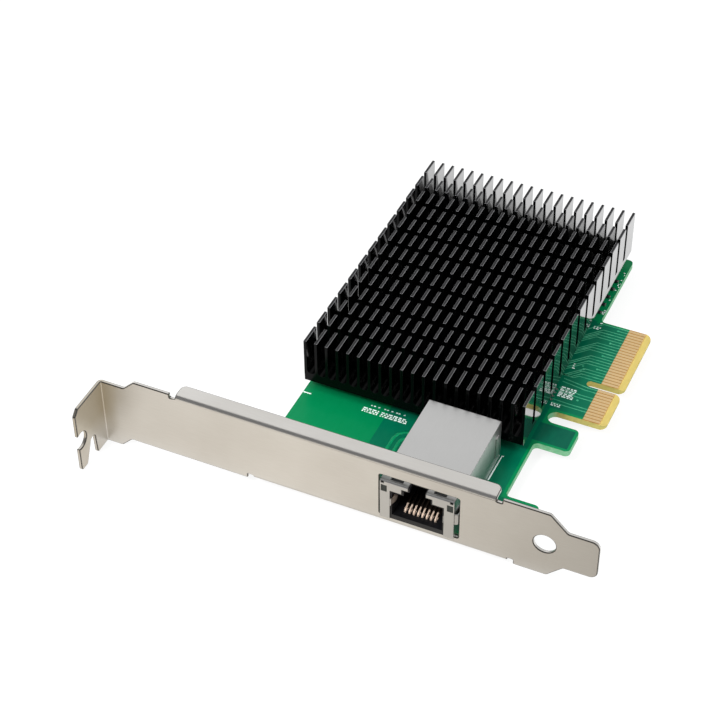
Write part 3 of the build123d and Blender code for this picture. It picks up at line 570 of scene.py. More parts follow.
# %% Materials on the CAD nodes
CAD_FINISH = {
    "bracket": BRACKET_STEEL, "bracket_screws": SCREW_STEEL, "circuit_board": BOARD,
    "edge_contacts_top": GOLD, "edge_contacts_bottom": GOLD, "jack_shield": SHELL_STEEL,
    "jack_housing": HOUSING, "jack_contacts": WIRE_GOLD, "jack_light_guides": LIGHT_GUIDE,
    "jack_transformer_module": POTTING, "jack_pins": TIN, "heat_sink": ANODISED,
    "heat_sink_screws": SCREW_STEEL, "heat_sink_spacers": SPACER_STEEL, "thermal_pad": PAD,
    "controller_chip": PACKAGE, "controller_lid": LID_METAL, "flash_memory": CHIP_EPOXY,
    "flash_memory_leads": TIN, "power_inductors": FERRITE, "voltage_regulators": CHIP_EPOXY,
    "clock_crystal": CAN_METAL, "ceramic_capacitors": CERAMIC, "chip_resistors": RESISTOR,
    "chip_part_ends": TIN,
}
for name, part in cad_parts.items():
    if not part.material_slots:
        part.data.materials.append(CAD_FINISH[name])
    for place in part.material_slots:
        place.material = CAD_FINISH[name]
print("dressed", len(CAD_FINISH), "of", len(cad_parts), "nodes")

# %% [markdown]
# ## Helpers for pieces
# A new piece ends as a plain mesh at the origin. It is given to the card's one body and, where it
# stands for a CAD node, it replaces it. Ink has no slot of its own, so the printing goes without one.


# %% Piece helpers
def object_from(name, shape):
    """A mesh object from a bmesh, which is freed."""
    mesh = bpy.data.meshes.new(name)
    shape.to_mesh(mesh)
    shape.free()
    return linked(name, mesh)


def settled(name, source):
    """The evaluated source as a plain mesh object with no modifier. The source is removed."""
    source.name = "draft"
    evaluated = source.evaluated_get(bpy.context.evaluated_depsgraph_get())
    mesh = bpy.data.meshes.new_from_object(evaluated)
    mesh.name = name
    bpy.data.objects.remove(source)
    return linked(name, mesh)


def fitted(piece, slot, *stands_for):
    """Gives a piece to the card's body and hides the CAD nodes that it replaces. The slot is not used."""
    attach(piece, "root")
    if stands_for:
        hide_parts(*stands_for)
    print(piece.name, "triangles:", sum(len(p.vertices) - 2 for p in piece.data.polygons))
    return piece


def turned(outline, steps):
    """A closed form as a bmesh: an outline of (distance from Z, height) turned round Z."""
    shape = bmesh.new()
    points = [shape.verts.new((x, 0, z)) for x, z in outline]
    lines = [shape.edges.new(pair) for pair in zip(points, points[1:])]
    bmesh.ops.spin(shape, geom=points + lines, cent=(0, 0, 0), axis=(0, 0, 1), angle=math.tau,
                   steps=steps)
    bmesh.ops.remove_doubles(shape, verts=shape.verts, dist=0.001 * MM)
    bmesh.ops.recalc_face_normals(shape, faces=shape.faces)
    return shape


print("helpers ready")

# %% [markdown]
# ## Bracket and jack shell with real edges
# Stamped sheet never has a knife edge: the punch rolls one side over, and plating rounds the other.
# Those small radii catch the light or the dark side of the room along a real bracket. The CAD solids
# have sharp edges, so each is copied, joined into clean faces and bevelled, by a fifth of a millimetre
# on the bracket and by a few hundredths on the thin shell. The new faces are painted a darker metal,
# a painted shade along the edges.

# %% Bracket and shell
SAME_PLACE = 0.0005 * MM            # corners closer than this are one
FLAT_WITHIN = math.radians(0.5)
SHARP_FROM = math.radians(34)       # edges that turn by more than this are rounded


def whole_copy(cad_node):
    """A bmesh of a CAD node with its loose triangles joined and its flat faces made whole."""
    shape = bmesh.new()
    shape.from_mesh(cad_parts[cad_node].data)
    bmesh.ops.remove_doubles(shape, verts=shape.verts, dist=SAME_PLACE)
    bmesh.ops.dissolve_limit(shape, angle_limit=FLAT_WITHIN, verts=shape.verts, edges=shape.edges)
    return shape


def stamped(cad_node, name, slot, material, width):
    """A CAD node again, with its sharp edges rounded by real faces, painted a darker metal as a painted
    shade.
    """
    piece = object_from(name, whole_copy(cad_node))
    piece.data.materials.clear()
    for finish in (material, EDGE_SHADE_STEEL):
        piece.data.materials.append(finish)
    piece.data.shade_smooth()
    bevel = piece.modifiers.new("soft edges", "BEVEL")
    bevel.width = width
    bevel.segments = 3
    bevel.use_clamp_overlap = False
    # The bevel's faces take the darker metal: a painted shade along the edges.
    bevel.material = 1
    bevel.limit_method = "ANGLE"
    bevel.angle_limit = SHARP_FROM
    bevel.miter_outer = "MITER_ARC"
    piece.modifiers.new("even shading", "WEIGHTED_NORMAL").keep_sharp = True
    return fitted(settled(name, piece), slot, cad_node)


stamped("bracket", "bracket_sheet", "plated_steel", BRACKET_STEEL, 0.22 * MM)
stamped("jack_shield", "jack_shell", "shell_steel", SHELL_STEEL, 0.035 * MM)

# %% [markdown]
# ## Helpers for Geometry Nodes
# Whatever repeats on the card is made by rule: a small node tree takes named sizes, places or sweeps
# a shape, and ends by making the copies real and giving them their material. The helpers below build
# such a tree, set its inputs by each socket's identifier, and turn the result into a plain mesh.


# %% Geometry Nodes helpers
def rule(name, numbers):
    """A Geometry Nodes tree with a Geometry socket and named inputs."""
    tree = bpy.data.node_groups.new(name, "GeometryNodeTree")
    tree.interface.new_socket("Geometry", in_out="INPUT", socket_type="NodeSocketGeometry")
    for label, kind in numbers.items():
        tree.interface.new_socket(label, in_out="INPUT", socket_type="NodeSocket" + kind)
    tree.interface.new_socket("Geometry", in_out="OUTPUT", socket_type="NodeSocketGeometry")
    return tree, tree.nodes.new("NodeGroupInput").outputs, tree.nodes.new("NodeGroupOutput")


def either(tree, test, if_not, if_so):
    """One number where the test is 0, and another where it is 1."""
    return node(tree, "Mix", {0: test, 2: if_not, 3: if_so}).outputs[0]


def joined(tree, *parts):
    """The geometry of several nodes in one."""
    join = node(tree, "GeometryNodeJoinGeometry")
    for part in parts:
        tree.links.new(part.outputs[0], join.inputs[0])
    return join.outputs[0]


def ends_with(tree, geometry, material, end):
    """Realize Instances and Set Material, then the tree's output."""
    real = node(tree, "GeometryNodeRealizeInstances", {"Geometry": geometry})
    coloured = node(tree, "GeometryNodeSetMaterial", {"Geometry": real.outputs[0], "Material": material})
    tree.links.new(coloured.outputs[0], end.inputs[0])


def made_by_rule(name, tree, base, values):
    """Runs a tree on a base object with these input values and returns the plain mesh."""
    modifier = base.modifiers.new("rule", "NODES")
    modifier.node_group = tree
    for item in tree.interface.items_tree:
        if item.in_out == "INPUT" and item.name in values:
            modifier[item.identifier] = values[item.name]
    base.update_tag()
    bpy.context.view_layer.update()
    return settled(name, base)


def places_object(places, turns=None):
    """An object with one loose vertex for each place, for instances to stand on."""
    mesh = bpy.data.meshes.new("places")
    mesh.from_pydata([tuple(place) for place in places], [], [])
    if turns:
        mesh.attributes.new("turn", "FLOAT", "POINT").data.foreach_set("value", turns)
    return linked("places", mesh)


print("rules ready")

# %% [markdown]
# ## Heat sink
# This is the card's largest part and its shape follows a rule: a flat base with 21 columns of thin
# fins, sawn across into 13 rows. It could be modelled as an array of boxes, but an extruded heat sink
# has round groove floors and softened fin tips that an array of boxes lacks. So the tree draws the
# extrusion's profile point by point from each point's index, fills it, extrudes it to one unit, and
# stands thirteen copies on the base, each stretched to the length of its row. The saw cuts are the one
# size that isn't the CAD model's, 1.5 mm for 1.78 mm, so that no floor shows between the last fins.

# %% Sizes of the heat sink
COLUMNS, ROWS = 21, 13
FIN_THICK = 0.7 * MM
SINK_BOTTOM, SINK_TOP = 3.0 * MM, 15.0 * MM
GROOVE_FLOOR, SAW_FLOOR = 5.25 * MM, 4.65 * MM
SAW_WIDTH, SAW_PITCH = 1.5 * MM, 5.777 * MM
FIN_TIP = 0.09 * MM                 # what is cut off each corner of a fin's tip
TIP_POINTS, GROOVE_STEPS = 4, 6
COLUMN_POINTS = TIP_POINTS + GROOVE_STEPS + 1
FIN_POINTS = COLUMN_POINTS * COLUMNS - (GROOVE_STEPS + 1)       # the last fin has no groove after it
column_pitch = (SINK_WIDTH - FIN_THICK) / (COLUMNS - 1)
end_row = (SINK_LENGTH - (ROWS - 2) * SAW_PITCH - SAW_WIDTH) / 2
print("column pitch", round(column_pitch / MM, 4), "end rows", round(end_row / MM, 3), "mm long")


# %% Profile of one row
def profile_curve(tree, sizes):
    """The closed outline of a row: fin, groove, fin, groove ... and back under them."""
    do = partial(calc, tree)
    line = node(tree, "GeometryNodeMeshLine", {"Count": FIN_POINTS + 2})
    index = node(tree, "GeometryNodeInputIndex").outputs[0]
    column = do("FLOOR", do("DIVIDE", index, float(COLUMN_POINTS)))
    place = do("SUBTRACT", index, do("MULTIPLY", column, float(COLUMN_POINTS)))
    fin_left = do("MULTIPLY_ADD", column, sizes["Pitch"], sizes["Left"])
    radius = do("MULTIPLY", do("SUBTRACT", sizes["Pitch"], sizes["Fin"]), 0.5)
    # Four points over the fin's tip. The first and the last are on its walls.
    middle = (TIP_POINTS - 1) / 2
    on_wall = do("COMPARE", do("ABSOLUTE", do("SUBTRACT", place, middle)), middle, 0.1)
    on_right = do("GREATER_THAN", place, middle)
    inset = do("MULTIPLY", do("SUBTRACT", 1.0, on_wall), sizes["Tip"])
    from_left = do("MULTIPLY_ADD", on_right, sizes["Fin"], fin_left)
    sign = do("MULTIPLY_ADD", on_right, -2.0, 1.0)
    tip_x = do("MULTIPLY_ADD", inset, sign, from_left)
    tip_z = do("SUBTRACT", sizes["Top"], do("MULTIPLY", on_wall, sizes["Tip"]))
    # The round floor of the groove to the fin's right.
    angle = do("MULTIPLY", do("SUBTRACT", place, float(TIP_POINTS)), math.pi / GROOVE_STEPS)
    groove_middle = do("ADD", do("ADD", fin_left, sizes["Fin"]), radius)
    arc_x = do("SUBTRACT", groove_middle, do("MULTIPLY", radius, do("COSINE", angle)))
    lift = do("MULTIPLY", radius, do("SUBTRACT", 1.0, do("SINE", angle)))
    arc_z = do("ADD", sizes["Floor"], lift)
    in_groove = do("GREATER_THAN", place, TIP_POINTS - 0.5)
    x = either(tree, in_groove, tip_x, arc_x)
    z = either(tree, in_groove, tip_z, arc_z)
    # The last two points run back below the fins.
    under = do("GREATER_THAN", index, FIN_POINTS - 0.5)
    at_left = do("GREATER_THAN", index, FIN_POINTS + 0.5)
    last_left = do("MULTIPLY_ADD", sizes["Pitch"], float(COLUMNS - 1), sizes["Left"])
    corner = either(tree, at_left, do("ADD", last_left, sizes["Fin"]), sizes["Left"])
    x = either(tree, under, x, corner)
    z = either(tree, under, z, sizes["Saw Floor"])
    spot = node(tree, "CombineXYZ", {0: x, 1: z})
    drawn = node(tree, "GeometryNodeSetPosition", {"Geometry": line.outputs[0],
                                                   "Position": spot.outputs[0]})
    curve = node(tree, "GeometryNodeMeshToCurve", {"Mesh": drawn.outputs[0]})
    return node(tree, "GeometryNodeSetSplineCyclic", {"Geometry": curve.outputs[0], "Cyclic": True})


print("points in the profile:", FIN_POINTS + 2)


# %% Rows along the base
def upright_row(tree, sizes):
    """One row as a closed solid of unit length, with its profile upright."""
    outline = profile_curve(tree, sizes)
    filled = node(tree, "GeometryNodeFillCurve", {"Curve": outline.outputs[0]}, mode="NGONS")
    grown = node(tree, "GeometryNodeExtrudeMesh", {"Mesh": filled.outputs[0], "Offset Scale": 1.0})
    back = node(tree, "GeometryNodeFlipFaces", {"Mesh": filled.outputs[0]})
    closed = node(tree, "GeometryNodeMergeByDistance", {"Geometry": joined(tree, grown, back),
                                                        "Distance": 1e-6})
    return node(tree, "GeometryNodeTransform", {"Geometry": closed.outputs[0],
                                                "Rotation": (math.pi / 2, 0.0, 0.0)})


def heat_sink_rule(names):
    tree, sizes, end = rule("heat sink", {name: "Float" for name in names})
    do = partial(calc, tree)
    row = upright_row(tree, sizes)
    # One place for each row, at its far end. The first and the last are longer than the others.
    count = node(tree, "GeometryNodeMeshLine", {"Count": ROWS})
    index = node(tree, "GeometryNodeInputIndex").outputs[0]
    last = do("GREATER_THAN", index, ROWS - 1.5)
    at_end = do("MAXIMUM", do("LESS_THAN", index, 0.5), last)
    plain = do("SUBTRACT", sizes["Row Pitch"], sizes["Saw Width"])
    length = either(tree, at_end, plain, sizes["End Row"])
    row_end = do("MULTIPLY_ADD", index, sizes["Row Pitch"], sizes["End Row"])
    row_end = do("ADD", sizes["Front"], row_end)
    extra = do("SUBTRACT", sizes["End Row"], plain)
    row_end = do("ADD", row_end, do("MULTIPLY", last, extra))
    spot = node(tree, "CombineXYZ", {1: row_end})
    stand = node(tree, "GeometryNodeSetPosition", {"Geometry": count.outputs[0],
                                                   "Position": spot.outputs[0]})
    size = node(tree, "CombineXYZ", {0: 1.0, 1: length, 2: 1.0})
    rows = node(tree, "GeometryNodeInstanceOnPoints", {
        "Points": stand.outputs[0], "Instance": row.outputs[0], "Scale": size.outputs[0]})
    # The base under the rows.
    thick = do("SUBTRACT", sizes["Saw Floor"], sizes["Bottom"])
    base_size = node(tree, "CombineXYZ", {0: sizes["Width"], 1: sizes["Length"], 2: thick})
    base = node(tree, "GeometryNodeMeshCube", {"Size": base_size.outputs[0]})
    middle = node(tree, "CombineXYZ", {0: do("MULTIPLY_ADD", sizes["Width"], 0.5, sizes["Left"]),
                                       1: do("MULTIPLY_ADD", sizes["Length"], 0.5, sizes["Front"]),
                                       2: do("MULTIPLY_ADD", thick, 0.5, sizes["Bottom"])})
    placed = node(tree, "GeometryNodeTransform", {"Geometry": base.outputs[0],
                                                  "Translation": middle.outputs[0]})
    ends_with(tree, joined(tree, rows, placed), ANODISED, end)
    return tree


SINK_SIZES = {
    "Left": SINK_LEFT, "Pitch": column_pitch, "Fin": FIN_THICK, "Top": SINK_TOP, "Floor": GROOVE_FLOOR,
    "Saw Floor": SAW_FLOOR, "Bottom": SINK_BOTTOM, "Tip": FIN_TIP, "Front": SINK_FRONT,
    "Row Pitch": SAW_PITCH, "Saw Width": SAW_WIDTH, "End Row": end_row, "Width": SINK_WIDTH,
    "Length": SINK_LENGTH}
sink = made_by_rule("heat_sink_fins", heat_sink_rule(SINK_SIZES), places_object([(0, 0, 0)]), SINK_SIZES)
print("fins:", COLUMNS * ROWS, "faces:", len(sink.data.polygons))

# %% Soften the heat sink's edges
SAWN_EDGE = 0.05 * MM
SAWN_FROM = math.radians(60)        # sawn edges turn by more than this
SMOOTH_TO = math.radians(36)        # edges that turn by less than this look smooth


def soften_sink(piece):
    """Bevels the sawn ends of the fins and the base's lower edges."""
    shape = bmesh.new()
    shape.from_mesh(piece.data)
    bmesh.ops.recalc_face_normals(shape, faces=shape.faces)
    weight = shape.edges.layers.float.new("bevel_weight_edge")
    for edge in shape.edges:
        low = min(vertex.co.z for vertex in edge.verts)
        sharp = len(edge.link_faces) == 2 and edge.calc_face_angle() > SAWN_FROM
        if sharp and (low > GROOVE_FLOOR + SAWN_EDGE or low < SINK_BOTTOM + SAWN_EDGE):
            edge[weight] = 1.0
    shape.to_mesh(piece.data)
    shape.free()
    piece.data.shade_smooth()
    bevel = piece.modifiers.new("sawn edges", "BEVEL")
    bevel.width = SAWN_EDGE
    bevel.segments = 1
    bevel.limit_method = "WEIGHT"
    piece = settled("heat_sink_fins", piece)
    piece.data.set_sharp_from_angle(angle=SMOOTH_TO)
    return piece


fitted(soften_sink(sink), "black_aluminium", "heat_sink")

# %% [markdown]
# ## Screws
# The two screws of the bracket and the four that hold the heat sink from below are pan head screws
# with a cross recess. A head is a profile turned round its axis, and its recess is cut with two
# crossed wedges. One tree stands a copy at each place, so identical screws are one piece.

# %% One screw
HEAD_PROFILE = ((0, 1), (0.45, 0.98), (0.78, 0.82), (0.95, 0.5), (1, 0.14), (0.98, 0))
RECESS_ARM, RECESS_DEPTH = 0.55, 0.7            # shares of the head's radius and height
RECESS_WIDTH, RECESS_TAPER = 0.3, 0.55          # shares of the shank's radius and the recess's mouth


def recess_cutter(radius, head_radius, head_height):
    """Two crossed wedges that reach down into the head."""
    cross = bmesh.new()
    arm, wide, deep = head_radius * RECESS_ARM, radius * RECESS_WIDTH, head_height * RECESS_DEPTH
    for half_x, half_y in ((arm, wide / 2), (wide / 2, arm)):
        for vertex in bmesh.ops.create_cube(cross, size=2.0)["verts"]:
            taper = 1.0 if vertex.co.z > 0 else RECESS_TAPER
            vertex.co = (vertex.co.x * half_x * taper, vertex.co.y * half_y * taper,
                         head_height + (0.1 * MM if vertex.co.z > 0 else -deep))
    return object_from("cutter", cross)


def screw_form(radius, head_radius, head_height, reach):
    """A pan head screw, head up, whose head rests on Z = 0."""
    head = [(head_radius * out, head_height * up) for out, up in HEAD_PROFILE]
    shank = [(radius, 0), (radius, -reach + radius * 0.25), (radius * 0.75, -reach), (0, -reach)]
    body = object_from("screw", turned(head + shank, 28))
    cutter = recess_cutter(radius, head_radius, head_height)
    cut = body.modifiers.new("recess", "BOOLEAN")
    cut.operation = "DIFFERENCE"
    cut.solver = "EXACT"
    cut.use_self = True
    cut.object = cutter
    body = settled("screw", body)
    bpy.data.objects.remove(cutter)
    body.data.materials.clear()
    body.data.materials.append(SCREW_STEEL)
    body.data.shade_smooth()
    body.data.set_sharp_from_angle(angle=math.radians(32))
    return body


# %% Copies of a shape at each place
def stand_rule(name, material):
    """A tree that stands the shape named by its Form input on every vertex, turned by 'turn'."""
    tree, given, end = rule(name, {"Form": "Object", "Upside Down": "Bool"})
    form = node(tree, "GeometryNodeObjectInfo", {"Object": given["Form"]})
    turn_by = node(tree, "GeometryNodeInputNamedAttribute", {"Name": "turn"})
    flip = calc(tree, "MULTIPLY", given["Upside Down"], math.pi)
    spin = node(tree, "CombineXYZ", {0: flip, 2: turn_by.outputs[0]})
    copies = node(tree, "GeometryNodeInstanceOnPoints", {
        "Points": given[0], "Instance": form.outputs["Geometry"], "Rotation": spin.outputs[0]})
    ends_with(tree, copies.outputs[0], material, end)
    return tree


def stood(name, form, material, places, turns=None, upside_down=False):
    """Copies of a form at each place as one plain mesh. The form itself is removed."""
    base = places_object(places, turns or [0.0] * len(places))
    piece = made_by_rule(name, stand_rule(name, material), base,
                         {"Form": form, "Upside Down": upside_down})
    bpy.data.objects.remove(form)
    return piece


print("screw and copy rules ready")

# %% Bracket screws and heat sink screws
FLANGE_X, FLANGE_Y = (43.0, 96.0), 4.6          # the bracket's screws, in millimetres
SIDE_INSET, END_INSET = 4.2 * MM, 5.5 * MM      # the heat sink's screws, from its sides and its ends
LAST_TURN = 1.5                     # a cross looks the same after this many radians, about a quarter
sink_x = (SINK_LEFT + SIDE_INSET, SINK_LEFT + SINK_WIDTH - SIDE_INSET)
sink_y = (SINK_FRONT + END_INSET, SINK_FRONT + SINK_LENGTH - END_INSET)
SCREWS = (                          # shank and head radius, head height, reach, places, upside down
    ("board_screws", "bracket_screws", (1.5 * MM, 2.775 * MM, 1.9 * MM, 3.53 * MM),
     [Vector((x * MM, FLANGE_Y * MM, 0)) for x in FLANGE_X], False),
    ("sink_screws", "heat_sink_screws", (1.25 * MM, 2.3125 * MM, 1.0 * MM, BOARD_THICK + 2.7 * MM),
     [Vector((x, y, -BOARD_THICK)) for x in sink_x for y in sink_y], True))
rng = random.Random(7)
for name, stands_for, sizes, places, upside_down in SCREWS:
    form = screw_form(*sizes)
    turns = [rng.uniform(0, LAST_TURN) for _ in places]
    fitted(stood(name, form, SCREW_STEEL, places, turns, upside_down), "screw_steel", stands_for)

# %% [markdown]
# ## Tracks and vias
# Copper tracks run from the contacts to the controller under the heat sink. On the board they are
# ridges a few hundredths of a millimetre high under the lacquer. Each one is a line of straight runs
# and a tree sweeps one flat section along all of them. The bend of each pair makes the row of
# chevrons that shows beside the heat sink.

# %% Track lines, in millimetres
TRACK_END = 91.2                    # where the tracks pass below the heat sink
SHORT_ENDS = (97.6, 98.8)           # between these a short track ends in a via
BEND, BEND_SHIFT, BEND_PLAY = 95.2, 1.2, 0.45   # the first bend, its shift to the last one, its play
PAIR_SHIFT = 0.2                    # the second track of a pair bends this much further out
KEY_GAP, TRACK_GAP = 0.5, 0.1       # no track ends nearer the key's middle than this, and this for each
FRONT_TRACKS = (0, 1, 3, 4, 7, 8)   # the contacts in front of the key that have a track
FRONT_BEND, FRONT_SHIFT = 98.2, 0.3
front_row, back_row = contact_rows()


def track_lines(seed=3):
    """The corners of every track on one side. Every fifth contact has a short one."""
    chance = random.Random(seed)
    lines = []
    bend = 0.0
    for order, y in enumerate(y / MM for y in back_row):
        if order % 5 == 4:
            lines.append([(MASK_END, y), (chance.uniform(*SHORT_ENDS), y)])
            continue
        starts_pair = order % 5 in (0, 2)
        if starts_pair:
            bend = BEND - BEND_SHIFT * order / (CONTACTS_BACK - 1) + chance.uniform(-BEND_PLAY, BEND_PLAY)
        turn_at = bend + (0.0 if starts_pair else PAIR_SHIFT)
        left_y = max(y - (turn_at - TRACK_END), KEY_MIDDLE / MM + KEY_GAP + TRACK_GAP * order)
        lines.append([(MASK_END, y), (turn_at, y), (turn_at - (y - left_y), left_y), (TRACK_END, left_y)])
    for order in FRONT_TRACKS:
        y = front_row[order] / MM
        lines.append([(MASK_END, y), (FRONT_BEND - FRONT_SHIFT * order, y),
                      (TRACK_END + 0.8, y + 0.9 - TRACK_GAP * order)])
    return lines


# The wider track beside the jack that curves in under it, as an outer and an inner line.
PAIR_LINES = [
    [(63.3, 17.0), (63.3, 22.6), (63.7, 24.1), (64.7, 25.2), (66.2, 25.7), (70.0, 25.7)],
    [(65.0, 17.0), (65.0, 22.0), (65.3, 23.0), (66.0, 23.6), (67.0, 23.8), (70.0, 23.8)]]
print("tracks:", len(track_lines()))


# %% Sweep the tracks
def lines_object(lines, height):
    """Open poly splines through these corners, in millimetres, at this height in metres."""
    curve = bpy.data.curves.new("lines", "CURVE")
    curve.dimensions = "3D"
    for line in lines:
        spline = curve.splines.new("POLY")
        spline.points.add(len(line) - 1)
        for point, (x, y) in zip(spline.points, line):
            point.co = (x * MM, y * MM, height, 1)
    return linked("lines", curve)


def ribbons(name, lines, width, thickness, material, height=0.0):
    """A flat section swept along every line by one tree."""
    tree, given, end = rule(name, {"Width": "Float", "Thickness": "Float"})
    section = node(tree, "GeometryNodeCurvePrimitiveQuadrilateral",
                   {"Width": given["Width"], "Height": given["Thickness"]})
    swept = node(tree, "GeometryNodeCurveToMesh", {
        "Curve": given[0], "Profile Curve": section.outputs[0], "Fill Caps": True})
    ends_with(tree, swept.outputs[0], material, end)
    return made_by_rule(name, tree, lines_object(lines, height), {"Width": width, "Thickness": thickness})


TRACK_THICK = 0.05 * MM
TRACKS = (
    ("contact_tracks", track_lines(), 0.23 * MM, TRACK_THICK, MASKED_COPPER, 0.0),
    ("jack_tracks", PAIR_LINES, 0.85 * MM, TRACK_THICK * 0.8, MASKED_PLANE, 0.0),
    ("contact_tracks_below", track_lines(seed=11), 0.2 * MM, TRACK_THICK, MASKED_COPPER, -BOARD_THICK))
for track in TRACKS:
    fitted(ribbons(*track), "board_laminate")

# %% [markdown]
# ## Vias, printing and solder
# Where a track changes sides it ends in a via, a plated hole that the lacquer covers. The printing
# beside the heat sink and the contacts is too small to read in the photograph. Rows of plain dashes of
# random lengths stand for it. Below the board each pin of the jack stands in a cone of solder.

# %% Vias
VIA_RADIUS, VIA_HEIGHT, VIA_SIDES = 0.28 * MM, 0.03 * MM, 10
VIAS_BESIDE = ((94.6, 61.4), (95.1, 62.2), (94.6, 63.2), (97.4, 51.4), (69.0, 27.4))
VIAS_BELOW, BELOW_X, BELOW_Y = 60, (41, 90), (32, 102)


def via_places():
    """Vias at the ends of the short tracks, a few beside the parts, and a scatter below the board."""
    chance = random.Random(5)
    short_ends = [line[-1] for line in track_lines() if len(line) == 2]
    above = [Vector((x * MM, y * MM, 0)) for x, y in (*short_ends, *VIAS_BESIDE)]
    return above + [Vector((chance.uniform(*BELOW_X) * MM, chance.uniform(*BELOW_Y) * MM, -BOARD_THICK))
                    for _ in range(VIAS_BELOW)]


def via_form():
    """A flat button centred on its place, so that it stands out of either side of the board."""
    shape = bmesh.new()
    bmesh.ops.create_cone(shape, cap_ends=True, segments=VIA_SIDES, radius1=VIA_RADIUS,
                          radius2=VIA_RADIUS, depth=2 * VIA_HEIGHT)
    return object_from("via", shape)


fitted(stood("vias", via_form(), MASKED_COPPER, via_places()), "board_laminate")

# %% Printing, with its places in millimetres
DASH_WIDE, DASH_GAP, DASH_LONG = 0.36, 0.3, (0.3, 0.45, 0.7, 1.0)
SHORTEST_DASH = 0.25
PRINT_BLOCKS = (                    # each from and to along X, from and to along Y, and its rows
    (52.9, 56.8, 27.7, 29.4, 3), (57.5, 64.1, 27.7, 29.4, 3), (92.5, 96.2, 50.9, 54.6, 7),
    (92.1, 94.5, 47.3, 48.4, 2), (92.3, 94.0, 76.9, 78.1, 2), (92.4, 93.4, 61.2, 63.4, 3))
PRINT_LINES = [[(37.8, 28.2), (39.8, 28.2)], [(87.95, 18.9), (88.04, 27.2), (88.5, 27.2)],
               [(93.3, 79.4), (93.8, 79.7)], [(92.5, 83.4), (93.0, 83.6)]]
TICKS_X = (54.2, 55.0, 56.1, 57.6, 58.3, 59.4, 60.6, 61.2, 62.5)
MARKS, MARKS_X, MARKS_Y = 16, (92.35, 92.8), (82.5, 101.0)
BLOCKS_BELOW = ((46.0, 60.0, 90.0, 94.0, 4), (66.0, 74.0, 86.0, 88.4, 3))
FRAME_BELOW = [(44.0, 30.0), (60.0, 30.0), (60.0, 52.0), (44.0, 52.0), (44.0, 30.0)]
INK_THICK = 0.04 * MM


def dashes(chance, x_from, x_to, y_from, y_to, rows):
    """Rows of dashes of random lengths that fill a rectangle."""
    lines = []
    for row in range(rows):
        y = y_from + (y_to - y_from) * (row + 0.5) / rows
        x = x_from
        while x < x_to - SHORTEST_DASH:
            long = min(chance.choice(DASH_LONG), x_to - x)
            lines.append([(x, y), (x + long, y)])
            x += long + DASH_GAP
    return lines


def filled_blocks(chance, blocks):
    """The dashes of several rectangles."""
    return [line for block in blocks for line in dashes(chance, *block)]


def printed_lines():
    """The print on the component side: blocks of dashes, single lines, ticks and small marks."""
    chance = random.Random(2)
    lines = filled_blocks(chance, PRINT_BLOCKS) + PRINT_LINES
    lines += [[(x, 30.3), (x + 0.4, 30.5)] for x in TICKS_X]
    for _ in range(MARKS):
        x, y = chance.uniform(*MARKS_X), chance.uniform(*MARKS_Y)
        lines.append([(x, y), (x + 0.2, y + chance.choice((-0.3, 0.0, 0.3)))])
    return lines


printed_below = filled_blocks(random.Random(9), BLOCKS_BELOW) + [FRAME_BELOW]
fitted(ribbons("printing", printed_lines(), DASH_WIDE * MM, INK_THICK, INK), None)
fitted(ribbons("printing_below", printed_below, DASH_WIDE * MM, INK_THICK, INK, -BOARD_THICK), None)

# %% Solder below the jack, in millimetres
JOINT_PROFILE = ((0.0, 0.02), (0.86, 0.02), (0.84, -0.06), (0.60, -0.18), (0.45, -0.38), (0.38, -0.6),
                 (0.30, -0.74), (0.0, -0.75))
PIN_PITCH, PINS_A_ROW = 2.54, 5
SIGNAL_ROWS = ((73.285, 17.4), (74.555, 19.94))         # the first pin of each of two staggered rows
LIGHT_PINS_X, LIGHT_PINS_Y = (71.395, 73.935, 84.065, 86.605), 24.4
TAIL_SPREAD, TAILS_Y = 8.55, (10.0, 17.4)               # the shell's own tails on each side


def solder_joint():
    """A cone of solder with a hollow flank, hanging from the board's lower face."""
    shape = turned([(x * MM, z * MM) for x, z in JOINT_PROFILE], 18)
    for face in shape.faces:
        face.smooth = True
    return object_from("joint", shape)


def pin_places():
    """Where the pins of the jack come through the board."""
    signal = [(x + PIN_PITCH * order, y) for x, y in SIGNAL_ROWS for order in range(PINS_A_ROW)]
    lights = [(x, LIGHT_PINS_Y) for x in LIGHT_PINS_X]
    tails = [(JACK_MIDDLE / MM + side * TAIL_SPREAD, y) for side in (-1, 1) for y in TAILS_Y]
    return signal + lights + tails


joint_places = [Vector((x * MM, y * MM, -BOARD_THICK)) for x, y in pin_places()]
fitted(stood("solder_joints", solder_joint(), SOLDER, joint_places), "tinned_pins")

# %% [markdown]
# ## Floor and light
# The card stands on a plain white floor. The floor is partly lit by the lamps, which keeps a soft
# shadow, and for the camera and for reflections it also glows just enough to be white, as paper does
# in a light tent. In front of the card what reflections see of it is painted warmer and dimmer, fading
# along X: a painted shade for the bracket to mirror.
# From below it is clear, so that the card can be looked at from there. The world is a plain white tent
# too, brightest in reflections on the left. A smaller lamp in front reaches into the jack, and two
# large ones fill the shadows.

# %% Floor
FLOOR_GLOW = 0.86                   # the share of the floor's white that doesn't come from the lamps
FLOOR_LIT = 1 - FLOOR_GLOW + 0.04   # the share that does, with a little more for where they are dim
PAPER = 0.8                         # how pale the floor is where it lights the card
FLOOR_SIZE = 3.0
WHITE, BLACK = (1, 1, 1, 1), (0, 0, 0, 1)
# Painted shade in reflections: the floor in front of the card is dimmer and warmer, most towards the
# right.
DUSK_LEFT, DUSK_RIGHT = (0.80, 0.735, 0.64, 1), (0.26, 0.225, 0.17, 1)
DUSK_X, RISE_X, FRONT_Y = (0.045, 0.13), (-0.02, 0.06), (0.005, -0.005)     # where each blends, in metres
RISE_FROM = 0.84                    # how bright the dusk is at its far left


def seen_rays(tree, path):
    """1 for what the camera sees itself, in a mirror or through glass."""
    return any_of(tree, [path["Is Camera Ray"], path["Is Glossy Ray"], path["Is Transmission Ray"]])


